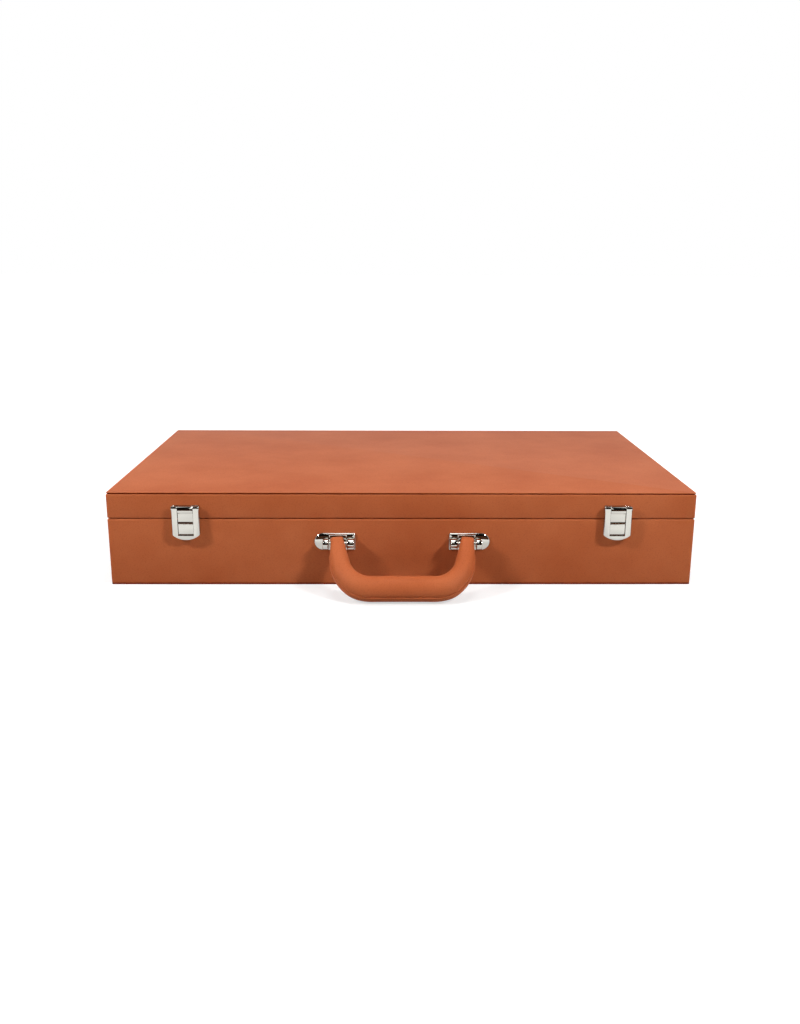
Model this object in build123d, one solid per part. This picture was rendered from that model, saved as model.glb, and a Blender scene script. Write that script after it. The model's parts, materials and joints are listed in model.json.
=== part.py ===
from build123d import *

import math
import os

# A mahjong set in a leathercloth attache case, lying shut on its base.
# Millimetres. X runs along the front, -Y is the front, +Z is up.
# The origin is the centre of the case's footprint on the table.

# Case
case_width = 560.0
case_depth = 333.0
base_height = 65.7
lid_height = 25.6
seam_gap = 0.6
corner_radius = 2.0
shoulder_radius = 0.9
rim_chamfer = 0.8
cloth = 1.0
wall_board = 8.0
floor_board = 6.0
lid_panel_board = 6.0
lining = 0.8
top_sheet = 1.0
top_sheet_inset = 0.5
sheet_edge = 0.4
groove_height = 0.9
groove_depth = 1.9

# Hinges
hinge_inset = 5.0
hinge_from_end = 110.0
rim_bevel = 50.0
bevel_play = 0.15
leaf_length = 50.0
leaf_thickness = 1.2
leg_height = 12.0
barrel_radius = 2.5
hinge_pin_radius = 1.2
middle_knuckle = 16.0
hinge_screw_spread = 30.0
hinge_screw_head_radius = 2.3
hinge_screw_head_height = 1.3
hinge_screw_radius = 1.1
hinge_screw_bite = 6.0

# Latches
latch_from_end = 75.2
cover_width = 26.0
cover_proud = 6.0
cover_drop = 19.2
cover_arc_rise = 5.0
cover_sheet = 1.0
cover_edge = 0.6
window_width = 14.9
window_drop = 15.3
catch_drop = 14.0
catch_width = 13.8
latch_axis_rise = 11.2
eye_radius = 2.2
latch_pin_radius = 1.0
boss_width = 14.3
boss_proud = 5.0
boss_crown_radius = 4.4
boss_split_drop = 1.7
boss_split_gap = 0.4
boss_drop = 13.7
plate_thickness = 1.2
plate_rise = 13.4
plate_side_inset = 0.6
strike_drop = 14.6
plate_seam_margin = 0.6
rivet_head_radius = 1.6
rivet_head_height = 0.8
rivet_radius = 1.0
rivet_bite = 6.0
lid_rivet_rise = 5.5
strike_rivet_drop = 8.5

# Handle and its brackets
lug_spread = 122.4
pivot_drop = 22.7
pivot_proud = 8.0
grip_radius = 11.8
grip_drop = 50.4
elbow_radius = 30.0
arm_lean = 8.0
lug_radius = 7.0
lug_width = 12.4
lug_edge = 1.0
eye_outer_radius = 2.9
strap_width = 6.0
strap_thickness = 2.5
welt_width = 6.0
welt_proud = 0.6
strip_sink = 0.5
bracket_length = 39.4
bracket_inner_reach = 16.6
bracket_height = 17.1
bracket_drop = 8.1
bracket_thickness = 2.6
bracket_edge = 1.4
knuckle_radius = 5.4
knuckle_gap = 17.4
knuckle_neck = 0.5
inner_knuckle = 6.9
outer_knuckle = 5.6
handle_pin_radius = 1.5
saddle_sheet = 1.2
saddle_inset = 0.2
saddle_proud = 5.2
saddle_rise = 8.6
saddle_leg = 3.2
bracket_screw_radius = 1.5
bracket_screw_head_radius = 3.0
bracket_screw_head_height = 2.0
bracket_screw_bite = 4.6

# Insert, racks, trays and tiles
deck_drop = 2.5
rib = 8.0
tray_rib = 7.72
long_rib = 10.3
well_width = 56.8
rack_width = 76.0
rack_height = 24.0
rack_base = 4.0
rack_ridge_back = 16.0
rack_ridge_foot = 6.0
rack_ridge_top = 3.0
rack_lip_back = 18.0
rack_lip = 3.0
rack_lip_height = 3.0
tile_thickness = 16.0
tile_chamfer = 0.8
tile_columns = 4
tile_rows = 5
tile_layers = 2
tray_count = 4
tray_wall = 1.6
tray_height = 24.0
tray_scoop = 11.0
well_floor = 5.0
die_side = 12.0
die_chamfer = 1.0
die_count = 3
marker_side = 18.0
chip_radius = 11.0
chip_thickness = 3.0
chips_in_stack = 3
well_play = 1.5
pad_gap = 1.5
pad_round = 4.0

# Fasteners are rounds of this many sides
fastener_sides = 8

# Clearances
pin_play = 0.05
hole_play = 0.05
swing_play = 0.3
fit_play = 0.3
rack_play = 1.0
seat_gap = 0.1
tile_gap = 0.3

# Places worked out from the sizes
case_height = base_height + lid_height
front = -case_depth / 2
back = case_depth / 2
hinge_y = back - hinge_inset
base_rim = base_height - seam_gap / 2
lid_rim = base_height + seam_gap / 2
inner_width = case_width - 2 * (cloth + wall_board)
inner_depth = case_depth - 2 * (cloth + wall_board)
lined_width = inner_width - 2 * lining
lined_depth = inner_depth - 2 * lining
lined_floor = cloth + floor_board + lining
lid_ceiling = case_height - cloth - lid_panel_board
lined_ceiling = lid_ceiling - lining
sheet_under = case_height - top_sheet
shoulder = sheet_under - groove_height
leg_face = lined_depth / 2
hinge_spread = case_width - 2 * hinge_from_end
latch_spread = case_width - 2 * latch_from_end
cover_bottom = base_height - cover_drop
window_bottom = base_height - window_drop
catch_top = base_height - catch_drop
latch_axis_height = base_height + latch_axis_rise
latch_axis_y = front - (cover_proud - eye_radius)
boss_split = base_height - boss_split_drop
boss_bottom = base_height - boss_drop
plate_top = base_height + plate_rise
strike_bottom = base_height - strike_drop
lid_rivet_height = base_height + lid_rivet_rise
strike_rivet_height = base_height - strike_rivet_drop
pivot_y = front - pivot_proud
pivot_height = base_height - pivot_drop
saddle_top = pivot_height + saddle_rise
handle_lean = math.degrees(math.acos((pivot_height - grip_radius - seat_gap) / grip_drop))
deck_height = base_height - deck_drop
pad_bottom = base_height + pad_gap
foam_width = lined_width - 2 * fit_play
foam_depth = lined_depth - 2 * fit_play
trough_depth = rack_width + 2 * rack_play
trough_length = foam_width - 3 * rib - well_width
rack_length = trough_length - 2 * rack_play
pocket_width = (foam_width - (tray_count + 1) * tray_rib) / tray_count
pocket_depth = foam_depth - 2 * trough_depth - 4 * long_rib
tray_width = pocket_width - 2 * fit_play
tray_depth = pocket_depth - 2 * fit_play
tile_length = (tray_width - 2 * tray_wall - (tile_columns + 1) * tile_gap) / tile_columns
tile_width = (tray_depth - 2 * tray_wall - (tile_rows + 1) * tile_gap) / tile_rows
pair_height = rack_height + rack_base + seat_gap
trough_floor = deck_height - pair_height
tray_floor = deck_height - tray_wall - tile_layers * (tile_thickness + seat_gap)
trough_y = pocket_depth / 2 + long_rib + trough_depth / 2
trough_x = -foam_width / 2 + rib + trough_length / 2
well_x = foam_width / 2 - rib - well_width / 2


def block(x0, x1, y0, y1, z0, z1):
    corner = Pos((x0 + x1) / 2, (y0 + y1) / 2, (z0 + z1) / 2)
    return corner * Box(x1 - x0, y1 - y0, z1 - z0)


def slab(width, depth, bottom, top, radius=0.0):
    outline = RectangleRounded(width, depth, radius) if radius > 0 else Rectangle(width, depth)
    return extrude(Pos(0, 0, bottom) * outline, top - bottom)


def rod_x(x0, x1, y, z, radius):
    return Pos((x0 + x1) / 2, y, z) * Cylinder(radius, x1 - x0, rotation=(0, 90, 0))


def shank_y(x, y0, y1, z, radius):
    """A round of few sides, for screws, rivets and their holes."""
    side_on = Plane(origin=(x, y0, z), x_dir=(1, 0, 0), z_dir=(0, 1, 0))
    return extrude(side_on * RegularPolygon(radius, fastener_sides), y1 - y0)


def joined(pieces):
    whole = pieces[0]
    for piece in pieces[1:]:
        whole = whole + piece
    return whole


def less(shape, cutters):
    for cutter in cutters:
        shape = shape - cutter
    return shape


def about_seam(shape):
    """The same shape turned over the plane of the seam, from the base to the lid."""
    return mirror(shape, about=Plane.XY.offset(base_height))


def write(name, shape):
    solids = shape if isinstance(shape, list) else [shape]
    flat = [solid for item in solids for solid in item.solids()]
    export_step(Compound(children=flat) if len(flat) > 1 else flat[0], f"parts/{name}.step")


# The two halves of the case

def rear_bevel(inset):
    """What the base's bevelled rear rim leaves out: the lid turns into this space."""
    angle = math.radians(rim_bevel)
    along = (math.cos(angle), -math.sin(angle))
    into = (-math.sin(angle), -math.cos(angle))
    reach = 4 * hinge_inset
    shift = bevel_play + inset
    start = (hinge_y + shift * into[0], base_height + shift * into[1])
    high = (start[0] - reach * along[0], start[1] - reach * along[1])
    low = (start[0] + reach * along[0], start[1] + reach * along[1])
    outline = make_face(Polyline(high, low, (low[0], high[1]), close=True))
    across = Plane(origin=(-case_width, 0, 0), x_dir=(0, 1, 0), z_dir=(1, 0, 0))
    return extrude(across * outline, 2 * case_width)


def base_board():
    """The base's boards, a cloth's thickness inside the finished base."""
    body = slab(case_width - 2 * cloth, case_depth - 2 * cloth, cloth, base_rim - cloth)
    return body - rear_bevel(cloth)


def base_outside():
    body = slab(case_width, case_depth, cloth, base_rim, corner_radius)
    body = chamfer(body.edges().group_by(Axis.Z)[-1], rim_chamfer)
    return body - rear_bevel(0)


def lid_board():
    """The lid's boards, narrower where the groove runs under the top sheet."""
    body = slab(case_width - 2 * cloth, case_depth - 2 * cloth, lid_rim + cloth, shoulder - cloth)
    neck = slab(case_width - 2 * groove_depth, case_depth - 2 * groove_depth, shoulder - cloth, sheet_under)
    return body + neck - about_seam(rear_bevel(cloth))


def lid_outside():
    body = slab(case_width, case_depth, lid_rim, shoulder, corner_radius)
    body = fillet(body.edges().group_by(Axis.Z)[-1], shoulder_radius)
    body = chamfer(body.edges().group_by(Axis.Z)[0], rim_chamfer)
    return body - about_seam(rear_bevel(0))


def hinge_centres():
    return [-hinge_spread / 2, hinge_spread / 2]


def latch_centres():
    return [-latch_spread / 2, latch_spread / 2]


def hinge_mortises():
    """Room for the barrels and the base's hinge leaves in the base's rim."""
    cuts = []
    for x in hinge_centres():
        half = leaf_length / 2 + swing_play
        cuts.append(rod_x(x - half, x + half, hinge_y, base_height, barrel_radius + swing_play))
        bed = base_rim - leaf_thickness - seat_gap
        cuts.append(block(x - half, x + half, leg_face - leaf_thickness, hinge_y, bed, base_height))
    return cuts


def hinge_screw_places():
    z = base_rim - leg_height / 2 - leaf_thickness / 2
    return [(x + s * hinge_screw_spread / 2, z) for x in hinge_centres() for s in (-1, 1)]


def hinge_screw_holes():
    y0 = leg_face - leaf_thickness
    y1 = inner_depth / 2 + hinge_screw_bite + hole_play
    radius = hinge_screw_radius + hole_play
    return [shank_y(x, y0 - fit_play, y1, z, radius) for x, z in hinge_screw_places()]


def bracket_screw_places():
    """Across the two knuckles of each handle bracket."""
    inner = lug_spread / 2 - knuckle_gap / 2 - inner_knuckle / 2
    outer = lug_spread / 2 + knuckle_gap / 2 + outer_knuckle / 2
    return [side * reach for side in (-1, 1) for reach in (inner, outer)]


def bracket_screw_holes():
    y0 = front - bracket_screw_bite - hole_play
    radius = bracket_screw_radius + hole_play
    return [shank_y(x, y0, -leg_face + fit_play, pivot_height, radius) for x in bracket_screw_places()]


def rivet_places():
    side = (window_width + cover_width) / 4
    return [x + s * side for x in latch_centres() for s in (-1, 1)]


def rivet_holes(height):
    radius = rivet_radius + hole_play
    y1 = front + rivet_bite + hole_play
    return [shank_y(x, front - plate_thickness - fit_play, y1, height, radius) for x in rivet_places()]


def base_cuts():
    return hinge_mortises() + hinge_screw_holes() + bracket_screw_holes() + rivet_holes(strike_rivet_height)


def lid_cuts():
    mirrored = [about_seam(cut) for cut in hinge_mortises() + hinge_screw_holes()]
    return mirrored + rivet_holes(lid_rivet_height)


def make_case():
    base_well = slab(inner_width, inner_depth, cloth + floor_board, case_height)
    write("base_board", less(base_board() - base_well, base_cuts()))
    skin = base_outside() - base_board() - slab(inner_width, inner_depth, 0, case_height)
    write("base_side_wrap", less(skin, base_cuts()))
    sheet = slab(case_width, case_depth, 0, cloth, corner_radius)
    write("base_bottom_wrap", chamfer(sheet.edges().group_by(Axis.Z)[0], sheet_edge))
    tray = slab(inner_width, inner_depth, cloth + floor_board, base_rim)
    hollow = slab(lined_width, lined_depth, lined_floor, case_height)
    write("base_lining", less(tray - hollow, base_cuts()))

    lid_well = slab(inner_width, inner_depth, 0, lid_ceiling)
    write("lid_board", less(lid_board() - lid_well, lid_cuts()))
    skin = lid_outside() - lid_board() - lid_well
    write("lid_side_wrap", less(skin, lid_cuts()))
    width = case_width - 2 * top_sheet_inset
    depth = case_depth - 2 * top_sheet_inset
    sheet = slab(width, depth, sheet_under, case_height, corner_radius)
    write("lid_top_wrap", chamfer(sheet.edges().group_by(Axis.Z)[-1], sheet_edge))
    tray = slab(inner_width, inner_depth, lid_rim, lid_ceiling)
    hollow = slab(lined_width, lined_depth, 0, lined_ceiling)
    write("lid_lining", less(tray - hollow, lid_cuts()))
    make_lid_pad()


def hinge_notches(bottom, top):
    """Room round the legs of the hinge leaves and their screw heads."""
    deep = leaf_thickness + hinge_screw_head_height + 2 * fit_play
    half = leaf_length / 2 + 2 * fit_play
    return [block(x - half, x + half, leg_face - deep, leg_face, bottom, top) for x in hinge_centres()]


def make_lid_pad():
    width = lined_width - 2 * fit_play
    depth = lined_depth - 2 * fit_play
    pad = slab(width, depth, pad_bottom, lined_ceiling)
    pad = fillet(pad.edges().group_by(Axis.Z)[0], pad_round)
    write("lid_pad", less(pad, hinge_notches(base_height, lid_rim + leg_height + fit_play)))


# Hinges: the leaves are let into the rims and bent down inside the rear walls

def knuckle_spans(x):
    half = leaf_length / 2
    mid = middle_knuckle / 2
    outer = [(x - half, x - mid - swing_play / 2), (x + mid + swing_play / 2, x + half)]
    return outer, [(x - mid + swing_play / 2, x + mid - swing_play / 2)]


def hinge_leaf(x, own, other):
    """A leaf for the base, with barrel knuckles on own and room for other."""
    half = leaf_length / 2
    inner_face = leg_face - leaf_thickness
    flange = block(x - half, x + half, inner_face, hinge_y, base_rim - leaf_thickness, base_rim)
    leg = block(x - half, x + half, inner_face, leg_face, base_rim - leg_height, base_rim)
    leaf = flange + leg
    for x0, x1 in other:
        room = barrel_radius + swing_play
        leaf = leaf - rod_x(x0 - swing_play, x1 + swing_play, hinge_y, base_height, room)
    for x0, x1 in own:
        leaf = leaf + rod_x(x0, x1, hinge_y, base_height, barrel_radius)
    bore = rod_x(x - leaf_length, x + leaf_length, hinge_y, base_height, hinge_pin_radius + pin_play)
    return less(leaf - bore, hinge_screw_holes())


def wood_screws():
    screws = []
    inner_face = leg_face - leaf_thickness
    for x, z in hinge_screw_places():
        head = shank_y(x, inner_face - hinge_screw_head_height, inner_face, z, hinge_screw_head_radius)
        tip = inner_depth / 2 + hinge_screw_bite
        screws.append(head + shank_y(x, inner_face, tip, z, hinge_screw_radius))
    return screws


def make_hinges():
    for name, x in zip(("left", "right"), hinge_centres()):
        outer, middle = knuckle_spans(x)
        write(f"hinge_{name}_base_leaf", hinge_leaf(x, outer, middle))
        write(f"hinge_{name}_lid_leaf", about_seam(hinge_leaf(x, middle, outer)))
        half = leaf_length / 2
        write(f"hinge_{name}_pin", rod_x(x - half, x + half, hinge_y, base_height, hinge_pin_radius))
    write("hinge_screws_base", wood_screws())
    write("hinge_screws_lid", [about_seam(screw) for screw in wood_screws()])


# Latches: a sheet frame hangs from a pin in the lid's plate, closes over the two
# bosses and snaps its catch under the base's boss

def proud_block(width, x, near, far, z0, z1):
    """A block on the front face, from near to far in front of it."""
    return block(x - width / 2, x + width / 2, front - far, front - near, z0, z1)


def latch_frame(x):
    half = cover_width / 2
    arc_top = cover_bottom + cover_arc_rise
    corners = [(half, arc_top), (half, latch_axis_height), (-half, latch_axis_height), (-half, arc_top)]
    profile = Polyline(*corners) + ThreePointArc((-half, arc_top), (0, cover_bottom), (half, arc_top))
    facing = Plane(origin=(x, front - plate_thickness - swing_play, 0), x_dir=(1, 0, 0), z_dir=(0, -1, 0))
    depth = cover_proud - plate_thickness - swing_play
    frame = extrude(facing * make_face(profile), depth)
    inside = offset(make_face(profile), -cover_sheet, kind=Kind.INTERSECTION)
    frame = frame - extrude(facing * inside, depth - cover_sheet)
    frame = chamfer(frame.edges().filter_by(Axis.Z).group_by(Axis.Y)[0], cover_edge)
    rail = (cover_width - window_width) / 2
    for side in (-1, 1):
        centre = x + side * (window_width + rail) / 2
        eye = rod_x(centre - rail / 2, centre + rail / 2, latch_axis_y, latch_axis_height, eye_radius)
        frame = frame + eye
    frame = frame - proud_block(window_width, x, 0, 2 * cover_proud, window_bottom, 2 * latch_axis_height)
    root = window_bottom - cover_sheet
    catch = proud_block(catch_width, x, plate_thickness + swing_play, cover_proud, root, catch_top)
    lip_back = boss_proud - cover_sheet
    catch = catch - proud_block(cover_width, x, lip_back, cover_proud, window_bottom, catch_top)
    bore = rod_x(x - half, x + half, latch_axis_y, latch_axis_height, latch_pin_radius + pin_play)
    return frame + catch - bore


def lid_plate(x):
    width = cover_width - 2 * plate_side_inset
    plate = proud_block(width, x, 0, plate_thickness, lid_rim + plate_seam_margin, plate_top)
    reach = plate_thickness + swing_play
    crown_height = latch_axis_height + eye_radius - boss_crown_radius
    boss = proud_block(boss_width, x, 0, boss_proud, lid_rim + plate_seam_margin, crown_height)
    bridge_top = lid_rim + seam_gap
    lip = proud_block(boss_width, x, reach, boss_proud, boss_split, bridge_top)
    half = boss_width / 2
    crown_y = front - cover_proud + boss_crown_radius
    crown = rod_x(x - half, x + half, crown_y, crown_height, boss_crown_radius)
    crown = crown & proud_block(boss_width, x, 0, cover_proud, lid_rim, case_height)
    bore = rod_x(x - half, x + half, latch_axis_y, latch_axis_height, latch_pin_radius + hole_play)
    return less(plate + (boss + crown) + lip - bore, rivet_holes(lid_rivet_height))


def strike(x):
    width = cover_width - 2 * plate_side_inset
    plate = proud_block(width, x, 0, plate_thickness, strike_bottom, base_rim - plate_seam_margin)
    boss = proud_block(boss_width, x, 0, boss_proud, boss_bottom, boss_split - boss_split_gap)
    return less(plate + boss, rivet_holes(strike_rivet_height))


def rivets(height):
    pieces = []
    for x in rivet_places():
        outer = front - plate_thickness
        head = shank_y(x, outer - rivet_head_height, outer, height, rivet_head_radius)
        pieces.append(head + shank_y(x, outer, front + rivet_bite, height, rivet_radius))
    return pieces


def make_latches():
    for name, x in zip(("left", "right"), latch_centres()):
        write(f"latch_hasp_{name}", latch_frame(x))
        write(f"latch_plate_{name}", lid_plate(x))
        write(f"latch_strike_{name}", strike(x))
        half = cover_width / 2
        pin = rod_x(x - half, x + half, latch_axis_y, latch_axis_height, latch_pin_radius)
        write(f"latch_pin_{name}", pin)
    write("latch_plate_rivets", rivets(lid_rivet_height))
    write("latch_strike_rivets", rivets(strike_rivet_height))


# Handle: drawn hanging straight down from its pivots, then leaned on the table

def leaned(shape):
    return Pos(0, pivot_y, pivot_height) * Rotation(-handle_lean, 0, 0) * shape


def elbow_centre():
    lean = math.radians(arm_lean)
    depth = grip_drop - elbow_radius
    along = (depth + elbow_radius * math.sin(lean)) / math.cos(lean)
    x = lug_spread / 2 - along * math.sin(lean) - elbow_radius * math.cos(lean)
    return x, depth, along


def grip_side(side):
    """One arm and elbow of the padded grip, side being -1 for the left."""
    x, depth, along = elbow_centre()
    lean = math.radians(arm_lean)
    start = Plane(origin=(side * x, 0, -grip_drop), x_dir=(0, 1, 0), z_dir=(side, 0, 0))
    turn = Axis((side * x, 0, -depth), (0, -side, 0))
    elbow = revolve(start * Circle(grip_radius), turn, 90 - arm_lean)
    pieces = [elbow]
    steps = ((0.0, 0.0), (0.5, 0.25), (0.8, 0.55), (1.0, 1.0))
    for (near, thin), (far, thick) in zip(steps, steps[1:]):
        radii = [lug_width / 2 + (grip_radius - lug_width / 2) * share for share in (thin, thick)]
        middle = along * (near + far) / 2
        place = Pos(side * (lug_spread / 2 - middle * math.sin(lean)), 0, -middle * math.cos(lean))
        cone = Cone(radii[1], radii[0], along * (far - near))
        pieces.append(place * Rotation(0, side * arm_lean, 0) * cone)
    centre = side * lug_spread / 2
    lug = rod_x(centre - lug_width / 2, centre + lug_width / 2, 0, 0, lug_radius)
    lug = chamfer(lug.edges().filter_by(GeomType.CIRCLE), lug_edge)
    return joined(pieces + [lug])


def core_form():
    """A flat steel strap bent to a U, with an eye at each end."""
    outer_width = lug_spread + strap_width
    outline = Pos(0, -grip_drop / 2) * Rectangle(outer_width, grip_drop + strap_width)
    inner = Pos(0, -(grip_drop - strap_width) / 2) * Rectangle(lug_spread - strap_width, grip_drop)
    lower = outline.vertices().group_by(Axis.Y)[0]
    outline = fillet(lower, elbow_radius)
    inner = fillet(inner.vertices().group_by(Axis.Y)[0], elbow_radius - strap_width)
    frame = Plane.XZ * (outline - inner)
    top = block(-case_width, case_width, -case_depth, case_depth, 0, case_height)
    strap = extrude(frame, strap_thickness / 2, both=True) - top
    eye_half = (knuckle_gap - 2 * swing_play) / 2
    for side in (-1, 1):
        centre = side * lug_spread / 2
        strap = strap + rod_x(centre - eye_half, centre + eye_half, 0, 0, eye_outer_radius)
    return strap


def grip_form():
    x = elbow_centre()[0]
    bar = rod_x(-x, x, 0, -grip_drop, grip_radius)
    return bar + grip_side(-1) + grip_side(1)


def welt_form():
    """The edge strip that runs round the outer side of the grip."""
    x, depth, _ = elbow_centre()
    section = Pos(0, -welt_proud / 2 + strip_sink / 2) * Rectangle(welt_width, welt_proud + strip_sink)
    start = Plane(origin=(0, 0, -grip_drop - grip_radius), x_dir=(0, 1, 0), z_dir=(1, 0, 0))
    pieces = [extrude(start * section, x, both=True)]
    for side in (-1, 1):
        end = Plane(origin=(side * x, 0, -grip_drop - grip_radius), x_dir=(0, 1, 0), z_dir=(1, 0, 0))
        turn = Axis((side * x, 0, -depth), (0, -side, 0))
        pieces.append(revolve(end * section, turn, 90 - arm_lean))
    return joined(pieces)


def make_handle():
    core = core_form()
    bores = []
    for side in (-1, 1):
        centre = side * lug_spread / 2
        bores.append(rod_x(centre - knuckle_gap, centre + knuckle_gap, 0, 0, handle_pin_radius + pin_play))
    grip = grip_form()
    write("handle_core", leaned(less(core, bores)))
    write("handle_grip", leaned(less(grip - core, bores)))
    write("handle_welt", leaned(welt_form() - grip))


def bracket(side):
    """A stamped plate with a domed outer end, two knuckles and a saddle round the lug."""
    centre = side * lug_spread / 2
    bottom = pivot_height - bracket_drop
    top = bottom + bracket_height
    inner_end = centre - side * bracket_inner_reach
    outer_end = inner_end + side * bracket_length
    round_centre = outer_end - side * bracket_height / 2
    middle = (bottom + top) / 2
    straight = Rectangle(abs(round_centre - inner_end), bracket_height)
    outline = Pos((inner_end + round_centre) / 2, middle) * straight
    outline = outline + Pos(round_centre, middle) * Circle(bracket_height / 2)
    face_on = Plane(origin=(0, front, 0), x_dir=(1, 0, 0), z_dir=(0, -1, 0))
    plate = extrude(face_on * outline, bracket_thickness)
    plate = chamfer(plate.faces().sort_by(Axis.Y)[0].edges(), bracket_edge)
    inner = centre - side * knuckle_gap / 2
    outer = centre + side * knuckle_gap / 2
    spans = [sorted((inner, inner - side * inner_knuckle)), sorted((outer, outer + side * outer_knuckle))]
    foot = knuckle_radius - knuckle_neck
    for x0, x1 in spans:
        knuckle = rod_x(x0, x1, pivot_y, pivot_height, knuckle_radius)
        knuckle = knuckle + block(x0, x1, pivot_y, front, pivot_height - foot, pivot_height + foot)
        plate = plate + knuckle
    half = knuckle_gap / 2 - saddle_inset
    rim_y = front - saddle_proud
    rim = block(centre - half, centre + half, rim_y, front, saddle_top - saddle_leg, saddle_top)
    room = half - saddle_sheet
    under = (saddle_top - 2 * saddle_leg, saddle_top - saddle_sheet)
    rim = rim - block(centre - room, centre + room, rim_y - saddle_proud, front, *under)
    swing = lug_radius + swing_play
    lug_room = rod_x(centre - room, centre + room, pivot_y, pivot_height, swing)
    x0 = min(x for span in spans for x in span)
    x1 = max(x for span in spans for x in span)
    bore = rod_x(x0, x1, pivot_y, pivot_height, handle_pin_radius + hole_play)
    return less(plate + rim - lug_room - bore, bracket_screw_holes())


def bracket_screws():
    screws = []
    seat = -leg_face
    tip = front - bracket_screw_bite
    for x in bracket_screw_places():
        inner = seat + bracket_screw_head_height
        head = shank_y(x, seat, inner, pivot_height, bracket_screw_head_radius)
        screws.append(head + shank_y(x, tip, seat, pivot_height, bracket_screw_radius))
    return screws


def make_brackets():
    for name, side in (("left", -1), ("right", 1)):
        centre = side * lug_spread / 2
        write(f"handle_bracket_{name}", bracket(side))
        inner_end = centre - side * (knuckle_gap / 2 + inner_knuckle)
        outer_end = centre + side * (knuckle_gap / 2 + outer_knuckle)
        x0, x1 = sorted((inner_end, outer_end))
        write(f"handle_pin_{name}", rod_x(x0, x1, pivot_y, pivot_height, handle_pin_radius))
    write("handle_bracket_screws", bracket_screws())


# Insert: foam floors and ribs that make two rack troughs, two wells and four tray pockets

def tray_centres():
    first = -foam_width / 2 + tray_rib + pocket_width / 2
    return [first + i * (pocket_width + tray_rib) for i in range(tray_count)]


def make_foam():
    half_pocket = pocket_depth / 2
    half_trough = trough_depth / 2
    half_foam = foam_width / 2
    floors = [block(-half_foam, half_foam, -half_pocket, half_pocket, lined_floor, tray_floor)]
    cross = []
    for side in (-1, 1):
        y = side * trough_y
        x0 = trough_x - trough_length / 2
        x1 = trough_x + trough_length / 2
        floors.append(block(x0, x1, y - half_trough, y + half_trough, lined_floor, trough_floor))
        x0 = well_x - well_width / 2
        x1 = well_x + well_width / 2
        well_top = lined_floor + well_floor
        floors.append(block(x0, x1, y - half_trough, y + half_trough, lined_floor, well_top))
        for x in (-half_foam, x0 - rib, half_foam - rib):
            cross.append(block(x, x + rib, y - half_trough, y + half_trough, lined_floor, deck_height))
    for i in range(tray_count + 1):
        x = -half_foam + i * (pocket_width + tray_rib)
        cross.append(block(x, x + tray_rib, -half_pocket, half_pocket, tray_floor, deck_height))
    write("foam_floors", floors)
    write("foam_cross_ribs", cross)
    ribs = []
    for y in (-foam_depth / 2, -half_pocket - long_rib, half_pocket, foam_depth / 2 - long_rib):
        ribs.append(block(-half_foam, half_foam, y, y + long_rib, lined_floor, deck_height))
    notches = hinge_notches(base_rim - leg_height - fit_play, base_height)
    ribs[3] = less(ribs[3], notches)
    head_room = bracket_screw_head_radius + fit_play
    y1 = -leg_face + bracket_screw_head_height + fit_play
    heads = [shank_y(x, -leg_face, y1, pivot_height, head_room) for x in bracket_screw_places()]
    ribs[0] = less(ribs[0], heads)
    write("foam_long_ribs", ribs)


def rack():
    """A flat bar with a leaning ridge that the tiles stand against and a lip before it."""
    half = rack_width / 2
    ridge_front = rack_ridge_back - rack_ridge_top
    lip_front = -rack_lip_back - rack_lip
    lip_top = rack_base + rack_lip_height
    outline = Polyline(
        (-half, 0), (half, 0), (half, rack_base), (rack_ridge_back + rack_ridge_foot, rack_base),
        (rack_ridge_back, rack_height), (ridge_front, rack_height),
        (ridge_front - rack_ridge_foot, rack_base),
        (-rack_lip_back, rack_base), (-rack_lip_back, lip_top), (lip_front, lip_top),
        (lip_front, rack_base), (-half, rack_base), close=True)
    across = Plane(origin=(-rack_length / 2, 0, 0), x_dir=(0, 1, 0), z_dir=(1, 0, 0))
    return extrude(across * make_face(outline), rack_length)


def make_racks():
    for name, side in (("front", -1), ("rear", 1)):
        bed = trough_floor
        write(f"rack_{name}_lower", Pos(trough_x, side * trough_y, bed) * rack())
        turned = Pos(trough_x, side * trough_y, bed + pair_height) * Rotation(180, 0, 0) * rack()
        write(f"rack_{name}_upper", turned)


def tray():
    shell = slab(tray_width, tray_depth, 0, tray_height)
    shell = shell - slab(tray_width - 2 * tray_wall, tray_depth - 2 * tray_wall, tray_wall, 2 * tray_height)
    scoop = shank_y(0, -tray_depth, tray_depth, tray_height, tray_scoop)
    return shell - scoop


def tile():
    body = slab(tile_length, tile_width, 0, tile_thickness)
    return chamfer(body.edges().group_by(Axis.Z)[-1], tile_chamfer)


def make_tiles():
    for number, x in enumerate(tray_centres(), start=1):
        write(f"tile_tray_{number}", Pos(x, 0, tray_floor) * tray())
        tiles = []
        for layer in range(tile_layers):
            z = tray_floor + tray_wall + seat_gap + layer * (tile_thickness + seat_gap)
            for column in range(tile_columns):
                for row in range(tile_rows):
                    dx = (column - (tile_columns - 1) / 2) * (tile_length + tile_gap)
                    dy = (row - (tile_rows - 1) / 2) * (tile_width + tile_gap)
                    tiles.append(Pos(x + dx, dy, z) * tile())
        write(f"tiles_{number}", tiles)


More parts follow.
